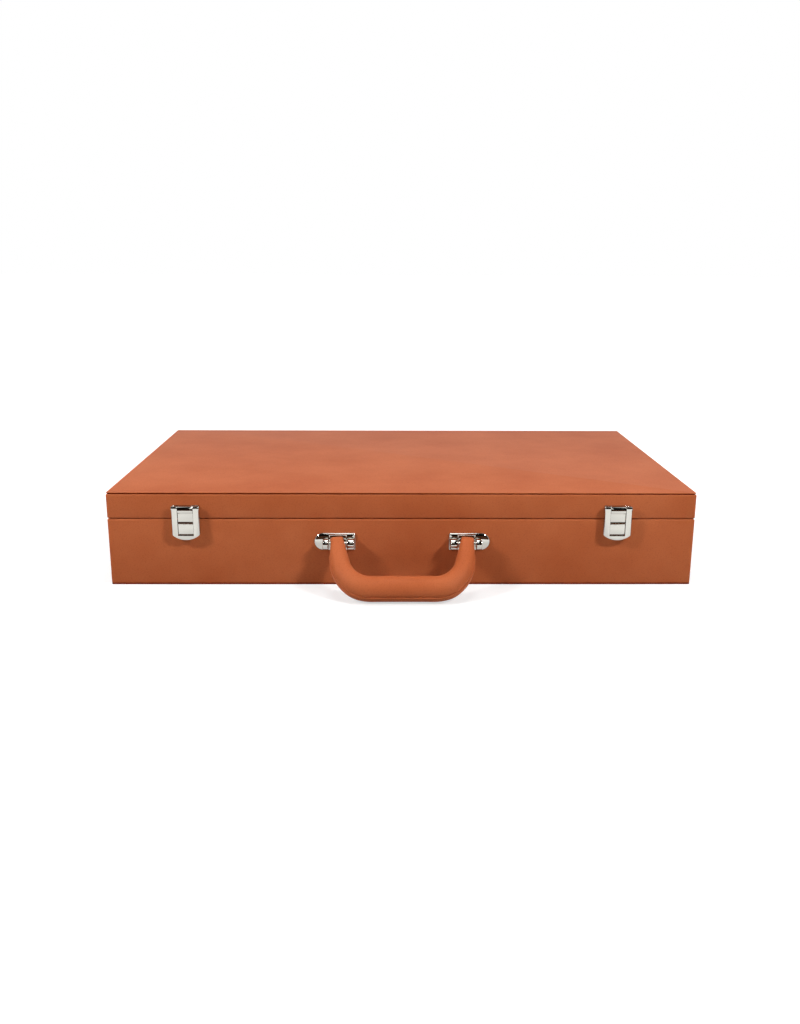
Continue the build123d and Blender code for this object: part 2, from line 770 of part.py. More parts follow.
def make_accessories():
    bed = lined_floor + well_floor
    y = -trough_y
    die = Box(die_side, die_side, die_side)
    die = chamfer(die.edges(), die_chamfer)
    dice = []
    for i in range(die_count):
        dx = (i - (die_count - 1) / 2) * (die_side + well_play)
        dice.append(Pos(well_x + dx, y - trough_depth / 4, bed + die_side / 2) * die)
    write("dice", dice)
    marker = chamfer(Box(marker_side, marker_side, marker_side).edges(), die_chamfer)
    write("wind_marker", Pos(well_x, y, bed + marker_side / 2) * marker)
    chips = []
    beside_marker = y + marker_side / 2 + well_play + chip_radius
    for stack_y in (beside_marker, trough_y):
        for level in range(chips_in_stack):
            z = bed + chip_thickness / 2 + level * (chip_thickness + seat_gap)
            chips.append(Pos(well_x, stack_y, z) * Cylinder(chip_radius, chip_thickness))
    write("chips", chips)


os.makedirs("parts", exist_ok=True)
make_case()
make_hinges()
make_latches()
make_handle()
make_brackets()
make_foam()
make_racks()
make_tiles()
make_accessories()
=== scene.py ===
import json
import math

import bmesh
import bpy
from mathutils import Matrix, Vector

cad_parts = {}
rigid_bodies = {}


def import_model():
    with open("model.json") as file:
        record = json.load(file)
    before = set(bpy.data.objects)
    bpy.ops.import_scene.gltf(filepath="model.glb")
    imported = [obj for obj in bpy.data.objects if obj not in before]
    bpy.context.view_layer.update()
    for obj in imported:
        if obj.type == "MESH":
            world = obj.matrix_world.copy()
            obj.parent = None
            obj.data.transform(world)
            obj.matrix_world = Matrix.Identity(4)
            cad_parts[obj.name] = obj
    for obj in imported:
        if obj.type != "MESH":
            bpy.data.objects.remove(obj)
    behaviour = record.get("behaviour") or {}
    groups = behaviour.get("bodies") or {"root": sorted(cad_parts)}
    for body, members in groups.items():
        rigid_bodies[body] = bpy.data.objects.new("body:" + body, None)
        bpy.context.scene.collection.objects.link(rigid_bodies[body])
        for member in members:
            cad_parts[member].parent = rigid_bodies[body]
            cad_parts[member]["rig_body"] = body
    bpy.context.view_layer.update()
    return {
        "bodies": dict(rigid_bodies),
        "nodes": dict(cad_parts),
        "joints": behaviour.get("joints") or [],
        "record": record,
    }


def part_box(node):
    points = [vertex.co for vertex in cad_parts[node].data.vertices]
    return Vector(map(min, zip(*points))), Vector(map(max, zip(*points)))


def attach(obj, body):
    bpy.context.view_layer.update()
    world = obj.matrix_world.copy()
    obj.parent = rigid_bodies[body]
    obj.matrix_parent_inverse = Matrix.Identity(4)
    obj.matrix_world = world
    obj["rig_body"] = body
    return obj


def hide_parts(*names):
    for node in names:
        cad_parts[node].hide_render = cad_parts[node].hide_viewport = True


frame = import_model()
nodes = frame["nodes"]
scene = bpy.context.scene
scene.view_settings.view_transform = "Standard"
mm = 0.001
weldDistance = 0.000002
print("frame loaded:", len(nodes), "nodes")


# Colours are written as sRGB hex and turned to linear here
def linear(hexColour):
    values = [int(hexColour[i:i + 2], 16) / 255 for i in (1, 3, 5)]
    return [v / 12.92 if v <= 0.04045 else ((v + 0.055) / 1.055) ** 2.4 for v in values] + [1.0]


# Adds a node, with settings for its sockets or properties, and links from sockets or other nodes' first outputs
def addNode(tree, kind, settings=None, links=None):
    node = tree.nodes.new("ShaderNode" + kind)
    for key, value in (settings or {}).items():
        if isinstance(key, int) or key in node.inputs:
            node.inputs[key].default_value = value
        else:
            setattr(node, key, value)
    for key, source in (links or {}).items():
        tree.links.new(source.outputs[0] if isinstance(source, bpy.types.Node) else source, node.inputs[key])
    return node


# Starts a material, whose patterns lie on the object's own coordinates
def startMaterial(name):
    material = bpy.data.materials.new(name)
    material.use_nodes = True
    tree = material.node_tree
    tree.nodes.clear()
    return material, tree, addNode(tree, "TexCoord").outputs["Object"]


# Ends a material with its shader's settings and links
def finishMaterial(material, settings, links):
    surface = addNode(material.node_tree, "BsdfPrincipled", settings, links)
    addNode(material.node_tree, "OutputMaterial", links={"Surface": surface})
    return material


# Mesh helpers: everything below is drawn in millimetres and stored in metres

def newObject(name, data):
    thing = bpy.data.objects.new(name, data)
    scene.collection.objects.link(thing)
    return thing


# Makes a piece of a mesh; it rides on the body of the CAD nodes that it stands for
def newPiece(name, mesh, material, slot, stands, smoothAngle=35):
    piece = newObject(name, mesh)
    layers = [face.material_index for face in mesh.polygons]
    mesh.materials.clear()
    for layer in material if isinstance(material, list) else [material]:
        mesh.materials.append(layer)
    mesh.polygons.foreach_set("material_index", layers)
    mesh.polygons.foreach_set("use_smooth", [True] * len(mesh.polygons))
    mesh.set_sharp_from_angle(angle=math.radians(smoothAngle))
    mesh.update()
    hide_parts(*stands)
    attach(piece, nodes[stands[0]]["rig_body"])
    return piece


# Gives a CAD node that stays in view its material
def dressNode(name, material):
    nodes[name].data.materials.clear()
    nodes[name].data.materials.append(material)


def meshFrom(bm, name):
    bmesh.ops.recalc_face_normals(bm, faces=bm.faces)
    mesh = bpy.data.meshes.new(name)
    bm.to_mesh(mesh)
    bm.free()
    return mesh


# The mesh that one drawing function makes on its own
def drawn(name, draw, *args, **settings):
    bm = bmesh.new()
    draw(bm, *args, **settings)
    return meshFrom(bm, name)


def at(x, y, z):
    return Matrix.Translation((x * mm, y * mm, z * mm))


def middleOf(low, high):
    return [(a + b) / 2 for a, b in zip(low, high)]


def arc(centreIn, centreUp, radius, start, end, steps=5):
    angles = [math.radians(start + (end - start) * i / steps) for i in range(steps + 1)]
    return [(centreIn + radius * math.cos(a), centreUp + radius * math.sin(a)) for a in angles]


def roundedLoop(halfX, halfY, radius, cornerSteps, sideSteps):
    corners = [arc(signX * (halfX - radius), signY * (halfY - radius), radius, start, start + 90, cornerSteps)
               for signX, signY, start in ((1, 1, 0), (-1, 1, 90), (-1, -1, 180), (1, -1, 270))]
    loop = []
    for corner, following in zip(corners, corners[1:] + corners[:1]):
        (x0, y0), (x1, y1) = corner[-1], following[0]
        shares = [k / sideSteps for k in range(1, sideSteps)]
        loop += corner + [(x0 + t * (x1 - x0), y0 + t * (y1 - y0)) for t in shares]
    return loop


def ringOf(bm, points):
    return [bm.verts.new([c * mm for c in point]) for point in points]


# Skins a row of rings: a closed row comes back to its first ring, an open one gets two end faces
def joinRings(bm, rings, closed=False):
    count = len(rings[0])
    for ringA, ringB in list(zip(rings, rings[1:])) + ([(rings[-1], rings[0])] if closed else []):
        for i in range(count):
            j = (i + 1) % count
            bm.faces.new((ringA[i], ringA[j], ringB[j], ringB[i]))
    if not closed:
        bm.faces.new(rings[0])
        bm.faces.new(rings[-1])


# Carries a profile of (inset, height) points round a rectangle with round corners
def sweepRound(bm, profile, halfX, halfY, radius, closed=False, cornerSteps=3, sideSteps=1, centre=(0.0, 0.0)):
    rings = []
    for inset, height in profile:
        loop = roundedLoop(halfX - inset, halfY - inset, max(radius - inset, 0.05), cornerSteps, sideSteps)
        rings.append(ringOf(bm, [(x + centre[0], y + centre[1], height) for x, y in loop]))
    joinRings(bm, rings, closed)


# Turns a profile of (radius, height) points about an axis: a closed profile makes a ring
def addTurned(bm, profile, place, segments=24, closed=False):
    turns = [2 * math.pi * i / segments for i in range(segments)]
    rings = [[bm.verts.new(place @ Vector((radius * math.cos(a) * mm, radius * math.sin(a) * mm, height * mm)))
              for a in turns] for radius, height in profile]
    joinRings(bm, rings, closed)


def addBlock(bm, low, high):
    verts = bmesh.ops.create_cube(bm, size=1.0)["verts"]
    bmesh.ops.scale(bm, vec=[(h - l) * mm for l, h in zip(low, high)], verts=verts)
    bmesh.ops.translate(bm, vec=[c * mm for c in middleOf(low, high)], verts=verts)


def addRodX(bm, x0, x1, y, z, radius, segments=32):
    place = at((x0 + x1) / 2, y, z) @ Matrix.Rotation(math.pi / 2, 4, "Y")
    bmesh.ops.create_cone(bm, cap_ends=True, segments=segments, radius1=radius * mm, radius2=radius * mm,
                          depth=(x1 - x0) * mm, matrix=place)


# Adds a copy of a finished mesh, with its materials' places kept
def stamp(bm, mesh, place):
    copy = mesh.copy()
    copy.transform(place)
    bm.from_mesh(copy)
    bpy.data.meshes.remove(copy)


# A CAD node's form, with the vertices that its facets share made one
def weldedForm(nodeName):
    bm = bmesh.new()
    bm.from_mesh(nodes[nodeName].data)
    bmesh.ops.remove_doubles(bm, verts=bm.verts, dist=weldDistance)
    return bm


# Lowest and highest corner of each separate solid in a CAD node, in millimetres
def solidBoxes(nodeName):
    bm = weldedForm(nodeName)
    boxes, left = [], set(bm.verts)
    while left:
        grown, edge = set(), [left.pop()]
        while edge:
            vert = edge.pop()
            grown.add(vert)
            for link in vert.link_edges:
                other = link.other_vert(vert)
                if other in left:
                    left.discard(other)
                    edge.append(other)
        corners = [[v.co[i] / mm for v in grown] for i in range(3)]
        boxes.append(([min(c) for c in corners], [max(c) for c in corners]))
    bm.free()
    return sorted(boxes)


def addModifier(thing, kind, **settings):
    step = thing.modifiers.new(kind.lower(), kind)
    for key, value in settings.items():
        setattr(step, key, value)
    return step


# The mesh that an object's modifiers make of it; the object goes
def evaluated(thing, name):
    depsgraph = bpy.context.evaluated_depsgraph_get()
    mesh = bpy.data.meshes.new_from_object(thing.evaluated_get(depsgraph))
    mesh.name = name
    bpy.data.objects.remove(thing)
    return mesh


# Cuts closed meshes out of a mesh
def carved(mesh, *cutters):
    body = newObject("carving", mesh)
    tools = [newObject("cutter", cutter) for cutter in cutters]
    for tool in tools:
        addModifier(body, "BOOLEAN", operation="DIFFERENCE", solver="EXACT", object=tool)
    result = evaluated(body, mesh.name + "Carved")
    for tool in tools:
        bpy.data.objects.remove(tool)
    return result


# A copy of a CAD node's form with its flats made whole and its edges rounded
def rounded(nodeName, width):
    bm = weldedForm(nodeName)
    bmesh.ops.dissolve_limit(bm, angle_limit=math.radians(2), verts=bm.verts, edges=bm.edges)
    body = newObject("rounding", meshFrom(bm, nodeName))
    addModifier(body, "BEVEL", width=width * mm, segments=3, limit_method="ANGLE", angle_limit=math.radians(35),
                use_clamp_overlap=True)
    return evaluated(body, nodeName + "Rounded")


# Rounds the outward edges of a mesh, or only those above a height
def edgesRounded(mesh, width, above=-1000.0, angle=40):
    bm = bmesh.new()
    bm.from_mesh(mesh)
    bmesh.ops.dissolve_limit(bm, angle_limit=math.radians(1), verts=bm.verts, edges=bm.edges)
    sharp = [e for e in bm.edges if len(e.link_faces) == 2 and e.is_convex
             and e.calc_face_angle() > math.radians(angle) and min(v.co.z for v in e.verts) > above * mm]
    bmesh.ops.bevel(bm, geom=sharp, offset=width * mm, segments=3, profile=0.5, affect="EDGES", clamp_overlap=True)
    return meshFrom(bm, mesh.name + "Rounded")


# Gives the second material to the faces that a rule picks
def paintWhere(mesh, rule):
    for face in mesh.polygons:
        if rule(face):
            face.material_index = 1


# Materials of the outside

leather = {
    "colour": "#c66d43",
    "deepColour": "#b85f36",
    # painted shade in the grain's valleys
    "valleyShadeColour": "#8a4422",
    "grainSize": 1.1,      # the real grain is 0.4 mm, drawn coarser so that it shows
    "grainDepth": 0.05,
    "poreShare": 0.45,
    "patchSize": 70.0,
    "patchDepth": 0.5,
    "roughness": 0.5,
    "specular": 0.07,
}


# Vinyl leathercloth, calendered and embossed: a fine even grain under a soft satin sheen
def makeLeathercloth():
    material, tree, where = startMaterial("vinylLeathercloth_embossed")
    patches = addNode(tree, "TexNoise", {"Scale": 1000 / leather["patchSize"], "Detail": 3.0, "Roughness": 0.55},
                      {"Vector": where})
    grain = addNode(tree, "TexVoronoi", {"feature": "SMOOTH_F1", "Scale": 1000 / leather["grainSize"],
                                         "Smoothness": 0.6, "Randomness": 0.9}, {"Vector": where})
    pores = addNode(tree, "TexNoise", {"Scale": 1000 / (leather["grainSize"] * leather["poreShare"]), "Detail": 2.0},
                    {"Vector": where})
    tint = addNode(tree, "MapRange", {"From Min": 0.3, "From Max": 0.7}, {"Value": patches})
    colour = addNode(tree, "Mix", {"data_type": "RGBA", 6: linear(leather["colour"]),
                                   7: linear(leather["deepColour"])}, {0: tint})
    # painted shade: where the grain's bump sinks, the colour is darkened towards the valley colour
    valley = addNode(tree, "MapRange", {"From Min": 0.45, "From Max": 0.9, "To Max": 0.16}, {"Value": grain})
    shaded = addNode(tree, "Mix", {"data_type": "RGBA", "blend_type": "MULTIPLY", 7: linear(leather["valleyShadeColour"])},
                     {0: valley, 6: colour.outputs[2]})
    gloss = addNode(tree, "MapRange", {"To Min": leather["roughness"] - 0.06, "To Max": leather["roughness"] + 0.08},
                    {"Value": pores})
    relief = addNode(tree, "Math", {"operation": "MULTIPLY_ADD", 1: 0.35}, {0: pores, 2: grain})
    bump = addNode(tree, "Bump", {"Strength": 0.35, "Distance": leather["grainDepth"] * mm, "invert": True},
                   {"Height": relief})
    slow = addNode(tree, "Bump", {"Strength": 0.5, "Distance": leather["patchDepth"] * mm},
                   {"Height": patches, "Normal": bump})
    return finishMaterial(material, {"IOR": 1.5, "Specular IOR Level": leather["specular"]},
                          {"Base Color": shaded.outputs[2], "Roughness": gloss, "Normal": slow})


# Chrome plate over pressed steel, polished: a mirror with faint polishing waves
def makeChrome():
    material, tree, where = startMaterial("chromePlatedSteel_polished")
    waves = addNode(tree, "TexNoise", {"Scale": 1000 / 9.0, "Detail": 1.0}, {"Vector": where})
    smear = addNode(tree, "TexNoise", {"Scale": 1000 / 2.5, "Detail": 4.0}, {"Vector": where})
    gloss = addNode(tree, "MapRange", {"From Min": 0.35, "From Max": 0.75, "To Min": 0.05, "To Max": 0.13},
                    {"Value": smear})
    bump = addNode(tree, "Bump", {"Strength": 0.25, "Distance": 0.12 * mm}, {"Height": waves})
    return finishMaterial(material, {"Base Color": linear("#bbb9b2"), "Metallic": 1.0},
                          {"Roughness": gloss, "Normal": bump})


# Nickel plate over steel, barrelled: a duller, slightly yellow metal
def makeNickel():
    material, tree, where = startMaterial("nickelPlatedSteel_barrelled")
    scuffs = addNode(tree, "TexNoise", {"Scale": 1000 / 1.5, "Detail": 5.0}, {"Vector": where})
    gloss = addNode(tree, "MapRange", {"To Min": 0.22, "To Max": 0.4}, {"Value": scuffs})
    bump = addNode(tree, "Bump", {"Strength": 0.2, "Distance": 0.02 * mm}, {"Height": scuffs})
    return finishMaterial(material, {"Base Color": linear("#c9c5bb"), "Metallic": 1.0},
                          {"Roughness": gloss, "Normal": bump})


# Pressed hardboard, sawn: brown fibres with a dull face, seen only in the grooves
def makeHardboard():
    material, tree, where = startMaterial("hardboard_pressed")
    fibres = addNode(tree, "TexNoise", {"Scale": 1000 / 1.2, "Detail": 6.0, "Distortion": 1.5}, {"Vector": where})
    colour = addNode(tree, "Mix", {"data_type": "RGBA", 6: linear("#7a5a3c"), 7: linear("#a5825c")}, {0: fibres})
    bump = addNode(tree, "Bump", {"Strength": 0.4, "Distance": 0.1 * mm}, {"Height": fibres})
    return finishMaterial(material, {"Roughness": 0.85}, {"Base Color": colour.outputs[2], "Normal": bump})


# Painted shade: a dark matt brown, a little mottled, laid on the faces in the grooves, in the seam gap and along the
# bottom edge, where shade and contact shadow fall
def makePaintedShade():
    material, tree, where = startMaterial("paintedShade_matt")
    shadeMottle = addNode(tree, "TexNoise", {"Scale": 1000 / 6.0, "Detail": 3.0}, {"Vector": where})
    colour = addNode(tree, "Mix", {"data_type": "RGBA", 6: linear("#8a3009"), 7: linear("#6e2407")}, {0: shadeMottle})
    return finishMaterial(material, {"Roughness": 0.7, "Specular IOR Level": 0.1}, {"Base Color": colour.outputs[2]})


leathercloth = makeLeathercloth()
paintedShade = makePaintedShade()
chrome = makeChrome()
nickel = makeNickel()
hardboard = makeHardboard()
print("outside materials made")


# The camera stands where the photograph's perspective puts it: millimetres, and angles in degrees

view = {
    "place": (-15.74, -1065.12, 312.18),
    "pitchDown": 14.93,
    "turnRight": 0.862,
    "roll": 0.274,
    "lens": 34.43,
    "sensor": 36.0,
    "clip": (0.01, 50.0),
}


def placeCamera():
    data = bpy.data.cameras.new("photoCamera")
    data.lens, data.sensor_width = view["lens"], view["sensor"]
    data.clip_start, data.clip_end = view["clip"]
    camera = newObject("photoCamera", data)
    turn = Matrix.Rotation(math.radians(-view["turnRight"]), 4, "Z")
    tilt = Matrix.Rotation(math.radians(90 - view["pitchDown"]), 4, "X")
    roll = Matrix.Rotation(math.radians(view["roll"]), 4, "Z")
    camera.matrix_world = Matrix.Translation(Vector(view["place"]) * mm) @ turn @ tilt @ roll
    scene.camera = camera


placeCamera()


# Floor, lamps and what the chrome mirrors, all in metres

studio = {
    "floorSize": 12.0,
    "floorColour": "#b0b0b0",
    "floorGlow": (0.61, 1.0),      # the white that the camera sees, near the case and away from it
    "glowReach": (0.28, 0.42),
    "worldStrength": 0.06,
    # painted reflections, seen only in gloss: dark shells, brown low down standing for reflected leather
    "darkColour": "#0c0b0b",
    "reflectedLeatherBrown": "#5f3c2a",
    "lowTop": (0.9, 1.5),
    "darkPatch": {"radius": 4.5, "turns": (-160, -20), "rises": (0, 86)},
    # a white card seen only in gloss, for painted highlights
    "highlightPatch": {"radius": 4.0, "turns": (-98, -82), "rises": (40, 80)},
    "canopyPatch": {"radius": 4.5, "turns": (20, 160), "rises": (64, 86)},
    "highlightStrength": 1.5,
    "darkFloor": {"halfX": 4.0, "y": (-4.5, -0.8), "z": 0.002},
}
lamps = {
    # name: place, the point that it lights, size, power in watts
    "overheadSoftbox": ((0.0, -0.1, 1.4), (0, 0, 0), (0.45, 0.7), 5.7),
    "leftSoftbox": ((-1.25, -0.75, 1.04), (0, -0.15, 0.03), (0.25, 0.25), 16),
    "rightSoftbox": ((1.07, -0.92, 1.13), (0, -0.15, 0.03), (0.25, 0.25), 17),
}


# 1 for the rays that see a surface straight, in gloss or through something clear, 0 for those that light it
def rayIsSeen(tree):
    path = addNode(tree, "LightPath")
    straight = addNode(tree, "Math", {"operation": "MAXIMUM"},
                       {0: path.outputs["Is Camera Ray"], 1: path.outputs["Is Glossy Ray"]})
    return addNode(tree, "Math", {"operation": "MAXIMUM"}, {0: straight, 1: path.outputs["Is Transmission Ray"]})


def stageObject(mesh, material):
    thing = newObject(mesh.name, mesh)
    mesh.materials.append(material)
    return thing


# A stage object that only gloss shows
def mirroredOnly(mesh, material):
    thing = stageObject(mesh, material)
    for ray in ("camera", "diffuse", "transmission", "volume_scatter", "shadow"):
        setattr(thing, "visible_" + ray, False)


# A piece of a sphere round the case, between two turns and two rises in degrees
def addPatch(bm, radius, turns, rises, columns=24, rows=12):
    grid = []
    for r in range(rows + 1):
        rise = math.radians(rises[0] + (rises[1] - rises[0]) * r / rows)
        across, up = radius * math.cos(rise), radius * math.sin(rise)
        steps = [math.radians(turns[0] + (turns[1] - turns[0]) * c / columns) for c in range(columns + 1)]
        grid.append([bm.verts.new((across * math.cos(turn), across * math.sin(turn), up)) for turn in steps])
    for lower, upper in zip(grid, grid[1:]):
        for c in range(columns):
            bm.faces.new((lower[c], lower[c + 1], upper[c + 1], upper[c]))


def addFlat(bm, halfX, y, z):
    bm.faces.new([bm.verts.new((x, d, z)) for x, d in ((-halfX, y[0]), (halfX, y[0]), (halfX, y[1]), (-halfX, y[1]))])


# White paper, matt: its own white is added only for the rays that see it
def buildFloor():
    material, tree, where = startMaterial("paperSweep_matt")
    surface = addNode(tree, "BsdfDiffuse", {"Color": linear(studio["floorColour"])})
    away = addNode(tree, "VectorMath", {"operation": "LENGTH"}, {0: where})
    (near, far), (dim, full) = studio["glowReach"], studio["floorGlow"]
    white = addNode(tree, "MapRange", {"From Min": near, "From Max": far, "To Min": dim, "To Max": full},
                    {"Value": away.outputs["Value"]})
    seen = addNode(tree, "Math", {"operation": "MULTIPLY"}, {0: rayIsSeen(tree), 1: white})
    glow = addNode(tree, "Emission", {"Color": (1, 1, 1, 1)}, {"Strength": seen})
    both = addNode(tree, "AddShader", links={0: surface, 1: glow})
    addNode(tree, "OutputMaterial", links={"Surface": both})
    floor = drawn("floor", bmesh.ops.create_grid, x_segments=1, y_segments=1, size=studio["floorSize"])
    stageObject(floor, material)


def buildWorld():
    world = bpy.data.worlds.new("studioWorld")
    world.use_nodes = True
    scene.world = world
    tree = world.node_tree
    tree.nodes.clear()
    dim = studio["worldStrength"]
    level = addNode(tree, "Math", {"operation": "MULTIPLY_ADD", 1: 1.0 - dim, 2: dim}, {0: rayIsSeen(tree)})
    sky = addNode(tree, "Background", {"Color": (1, 1, 1, 1)}, {"Strength": level})
    addNode(tree, "OutputWorld", links={"Surface": sky})


# Painted reflections: dark glowing patches and a dark flat on the floor, seen only in gloss, draw the black bands in
# the chrome, with a brown band low down standing for reflected leather; a white card glowing only in gloss draws
# painted highlights
def buildMirrored():
    material, tree, where = startMaterial("paintedReflection_dark")
    height = addNode(tree, "SeparateXYZ", links={0: where})
    rise = addNode(tree, "MapRange", {"From Min": studio["lowTop"][0], "From Max": studio["lowTop"][1]},
                   {"Value": height.outputs["Z"]})
    colour = addNode(tree, "Mix", {"data_type": "RGBA", 6: linear(studio["reflectedLeatherBrown"]),
                                   7: linear(studio["darkColour"])}, {0: rise})
    dark = addNode(tree, "Emission", {"Strength": 1.0}, {"Color": colour.outputs[2]})
    addNode(tree, "OutputMaterial", links={"Surface": dark})
    mirroredOnly(drawn("studioDark", addPatch, **studio["darkPatch"]), material)
    mirroredOnly(drawn("studioCanopy", addPatch, **studio["canopyPatch"]), material)
    mirroredOnly(drawn("floorDark", addFlat, **studio["darkFloor"]), material)
    # painted highlights: a white card that glows and shows only in gloss
    material, tree, where = startMaterial("paintedHighlightCard_white")
    white = addNode(tree, "Emission", {"Color": (1, 1, 1, 1), "Strength": studio["highlightStrength"]})
    addNode(tree, "OutputMaterial", links={"Surface": white})
    mirroredOnly(drawn("paintedHighlightCard", addPatch, **studio["highlightPatch"]), material)


def addLamp(name, place, target, size, power):
    data = bpy.data.lights.new(name, "AREA")
    data.shape = "RECTANGLE"
    data.size, data.size_y = size
    data.energy = power
    lamp = newObject(name, data)
    lamp.location = place
    lamp.rotation_euler = (Vector(target) - Vector(place)).to_track_quat("-Z", "Y").to_euler()


buildFloor()
buildWorld()
buildMirrored()
for name, settings in lamps.items():
    addLamp(name, *settings)
print("studio set")


# Case: leathercloth over boards, with a sheet laid on the lid and one under the base

case = {
    "halfWidth": 280.0,
    "halfDepth": 166.5,
    "seam": 65.7,
    "seamGap": 0.6,
    "height": 91.3,
    "cornerRadius": 2.0,
    "wall": 9.0,
    "rimRound": 1.3,
    "innerRound": 0.5,
    "shoulderRound": 1.1,
    "foot": {"height": 1.6, "round": 0.6, "depth": 1.3, "under": 1.0, "inner": 2.0},
    "bottomSheet": {"thickness": 1.5, "edge": 0.5},
    "sheetEdge": 0.4,
    "sheetThickness": 1.0,
    "sheetInset": 0.5,
    "grooveHeight": 0.9,
    "grooveDepth": 1.8,
    # how high the painted shade reaches on the underside of the lid's rim
    "shadeUnderRim": 0.35,
    "hingeY": 161.5,
    "bevelAngle": 50.0,
    "bevelRoom": (0.12, 0.1),
    "bevelReach": 30.0,
    "bevelHalf": 400.0,
}
hinges = {
    "centres": (-170.0, 170.0),
    "leafLength": 50.0,
    "barrel": 2.5,
    "leaf": 1.2,
    "edge": 0.2,
    "room": 0.3,
    "bedRoom": 0.1,
    "bedFrom": 150.0,
}


# A block at each hinge, over ranges of depth and height
def addHingeBlocks(bm, halfX, y, z):
    for x in hinges["centres"]:
        addBlock(bm, (x - halfX, y[0], z[0]), (x + halfX, y[1], z[1]))


# The wedge that lets the rear edge turn, in the base or turned over in the lid
def addWedge(bm, level):
    angle = math.radians(case["bevelAngle"])
    across, up = case["bevelReach"] * math.cos(angle), case["bevelReach"] * math.sin(angle)
    y, z = case["hingeY"] - case["bevelRoom"][0], case["seam"] - case["bevelRoom"][1]
    corners = [(y - across, level(z + up)), (y + across, level(z - up)), (y + across, level(z + up))]
    ends = (-case["bevelHalf"], case["bevelHalf"])
    joinRings(bm, [ringOf(bm, [(x, *corner) for corner in corners]) for x in ends])


# What the base, or the lid where it is flipped, leaves open round the hinge line
def hingeClearance(flip):
    seam, hingeY, room = case["seam"], case["hingeY"], hinges["room"]
    half = hinges["leafLength"] / 2 + room

    def level(z):
        return 2 * seam - z if flip else z

    bed = [level(seam - case["seamGap"] / 2 - hinges["leaf"] - hinges["bedRoom"]), level(seam + hinges["bedRoom"])]
    cuts = [drawn("wedge", addWedge, level),
            drawn("beds", addHingeBlocks, half, (hinges["bedFrom"], hingeY), sorted(bed))]
    for x in hinges["centres"]:
        cuts.append(drawn("barrel", addRodX, x - half, x + half, hingeY, seam, hinges["barrel"] + room))
    return cuts


def caseSweep(name, profile, closed=False):
    return drawn(name, sweepRound, profile, case["halfWidth"], case["halfDepth"], case["cornerRadius"],
                 closed, cornerSteps=6, sideSteps=12)


def buildCase():
    r, inner, wall, foot = case["rimRound"], case["innerRound"], case["wall"], case["foot"]
    rim = case["seam"] - case["seamGap"] / 2
    low = rim + case["seamGap"]
    top = case["height"]
    sheetUnder = top - case["sheetThickness"]
    shoulder = sheetUnder - case["grooveHeight"]

    # base walls: rolled rim, and a groove above the bottom sheet
    profile = arc(foot["round"], foot["height"] + foot["round"], foot["round"], 270, 180, 3)
    profile += arc(r, rim - r, r, 180, 90, 6) + arc(wall - inner, rim - inner, inner, 90, 0, 3)
    profile += [(wall, foot["inner"]), (wall, foot["under"]), (foot["depth"], foot["under"]),
                (foot["depth"], foot["height"])]
    mesh = carved(caseSweep("baseCover", profile, True), *hingeClearance(False))
    newPiece("baseCover", mesh, leathercloth, "leathercloth", ["base_side_wrap"])
    sheet, edge = case["bottomSheet"]["thickness"], case["bottomSheet"]["edge"]
    mesh = caseSweep("bottomSheet", arc(edge, edge, edge, 270, 180, 3) + arc(edge, sheet - edge, edge, 180, 90, 3))
    # painted shadow: the bottom sheet's sides get the dark material, a contact shadow line along the bottom edge
    paintWhere(mesh, lambda face: abs(face.normal.z) < 0.98)
    newPiece("bottomSheet", mesh, [leathercloth, paintedShade], "leathercloth", ["base_bottom_wrap"])

    # lid walls: rolled rim below, rounded shoulder and groove under the top sheet
    turn, deep = case["shoulderRound"], case["grooveDepth"]
    profile = arc(wall - inner, low + inner, inner, 0, -90, 3) + arc(r, low + r, r, 270, 180, 5)
    profile += arc(turn, shoulder - turn, turn, 180, 90, 6)
    profile += [(deep, shoulder), (deep, sheetUnder), (wall, sheetUnder)]
    mesh = carved(caseSweep("lidCover", profile, True), *hingeClearance(True))
    # painted shade: the groove under the top sheet and the underside of the lid's rim get the dark material
    paintWhere(mesh, lambda face: shoulder * mm < face.center.z < sheetUnder * mm
               or face.center.z < (low + case["shadeUnderRim"]) * mm and face.normal.z < -0.5)
    newPiece("lidCover", mesh, [leathercloth, paintedShade], "leathercloth", ["lid_side_wrap"])
    edge = case["sheetEdge"]
    side = case["sheetInset"] + edge
    mesh = caseSweep("topSheet", arc(side, sheetUnder + edge, edge, 270, 180, 3) + arc(side, top - edge, edge, 180, 90))
    # painted shade: the top sheet's lower edge gets the dark material, deepening the groove below it
    paintWhere(mesh, lambda face: face.center.z < (sheetUnder + edge) * mm)
    newPiece("topSheet", mesh, [leathercloth, paintedShade], "leathercloth", ["lid_top_wrap"])


buildCase()
dressNode("base_board", hardboard)
dressNode("lid_board", hardboard)
print("case covered")


# Latches and handle pins: pressed and plated parts with rolled edges, by width of the edge

hardware = {
    "latch_hasp": 0.45,
    "latch_plate": 0.3,
    "latch_strike": 0.3,
    "latch_pin": 0.15,
    "handle_pin": 0.2,
}

for stem, width in hardware.items():
    for side in ("left", "right"):
        name = f"{stem}_{side}"
        newPiece(name + "_plated", rounded(name, width), chrome,
                 "steel" if stem == "handle_pin" else "chromed_steel", [name], smoothAngle=50)
print("latches and pins plated")


# Handle: a steel strap under padding and leathercloth, with a raised strip round the outside

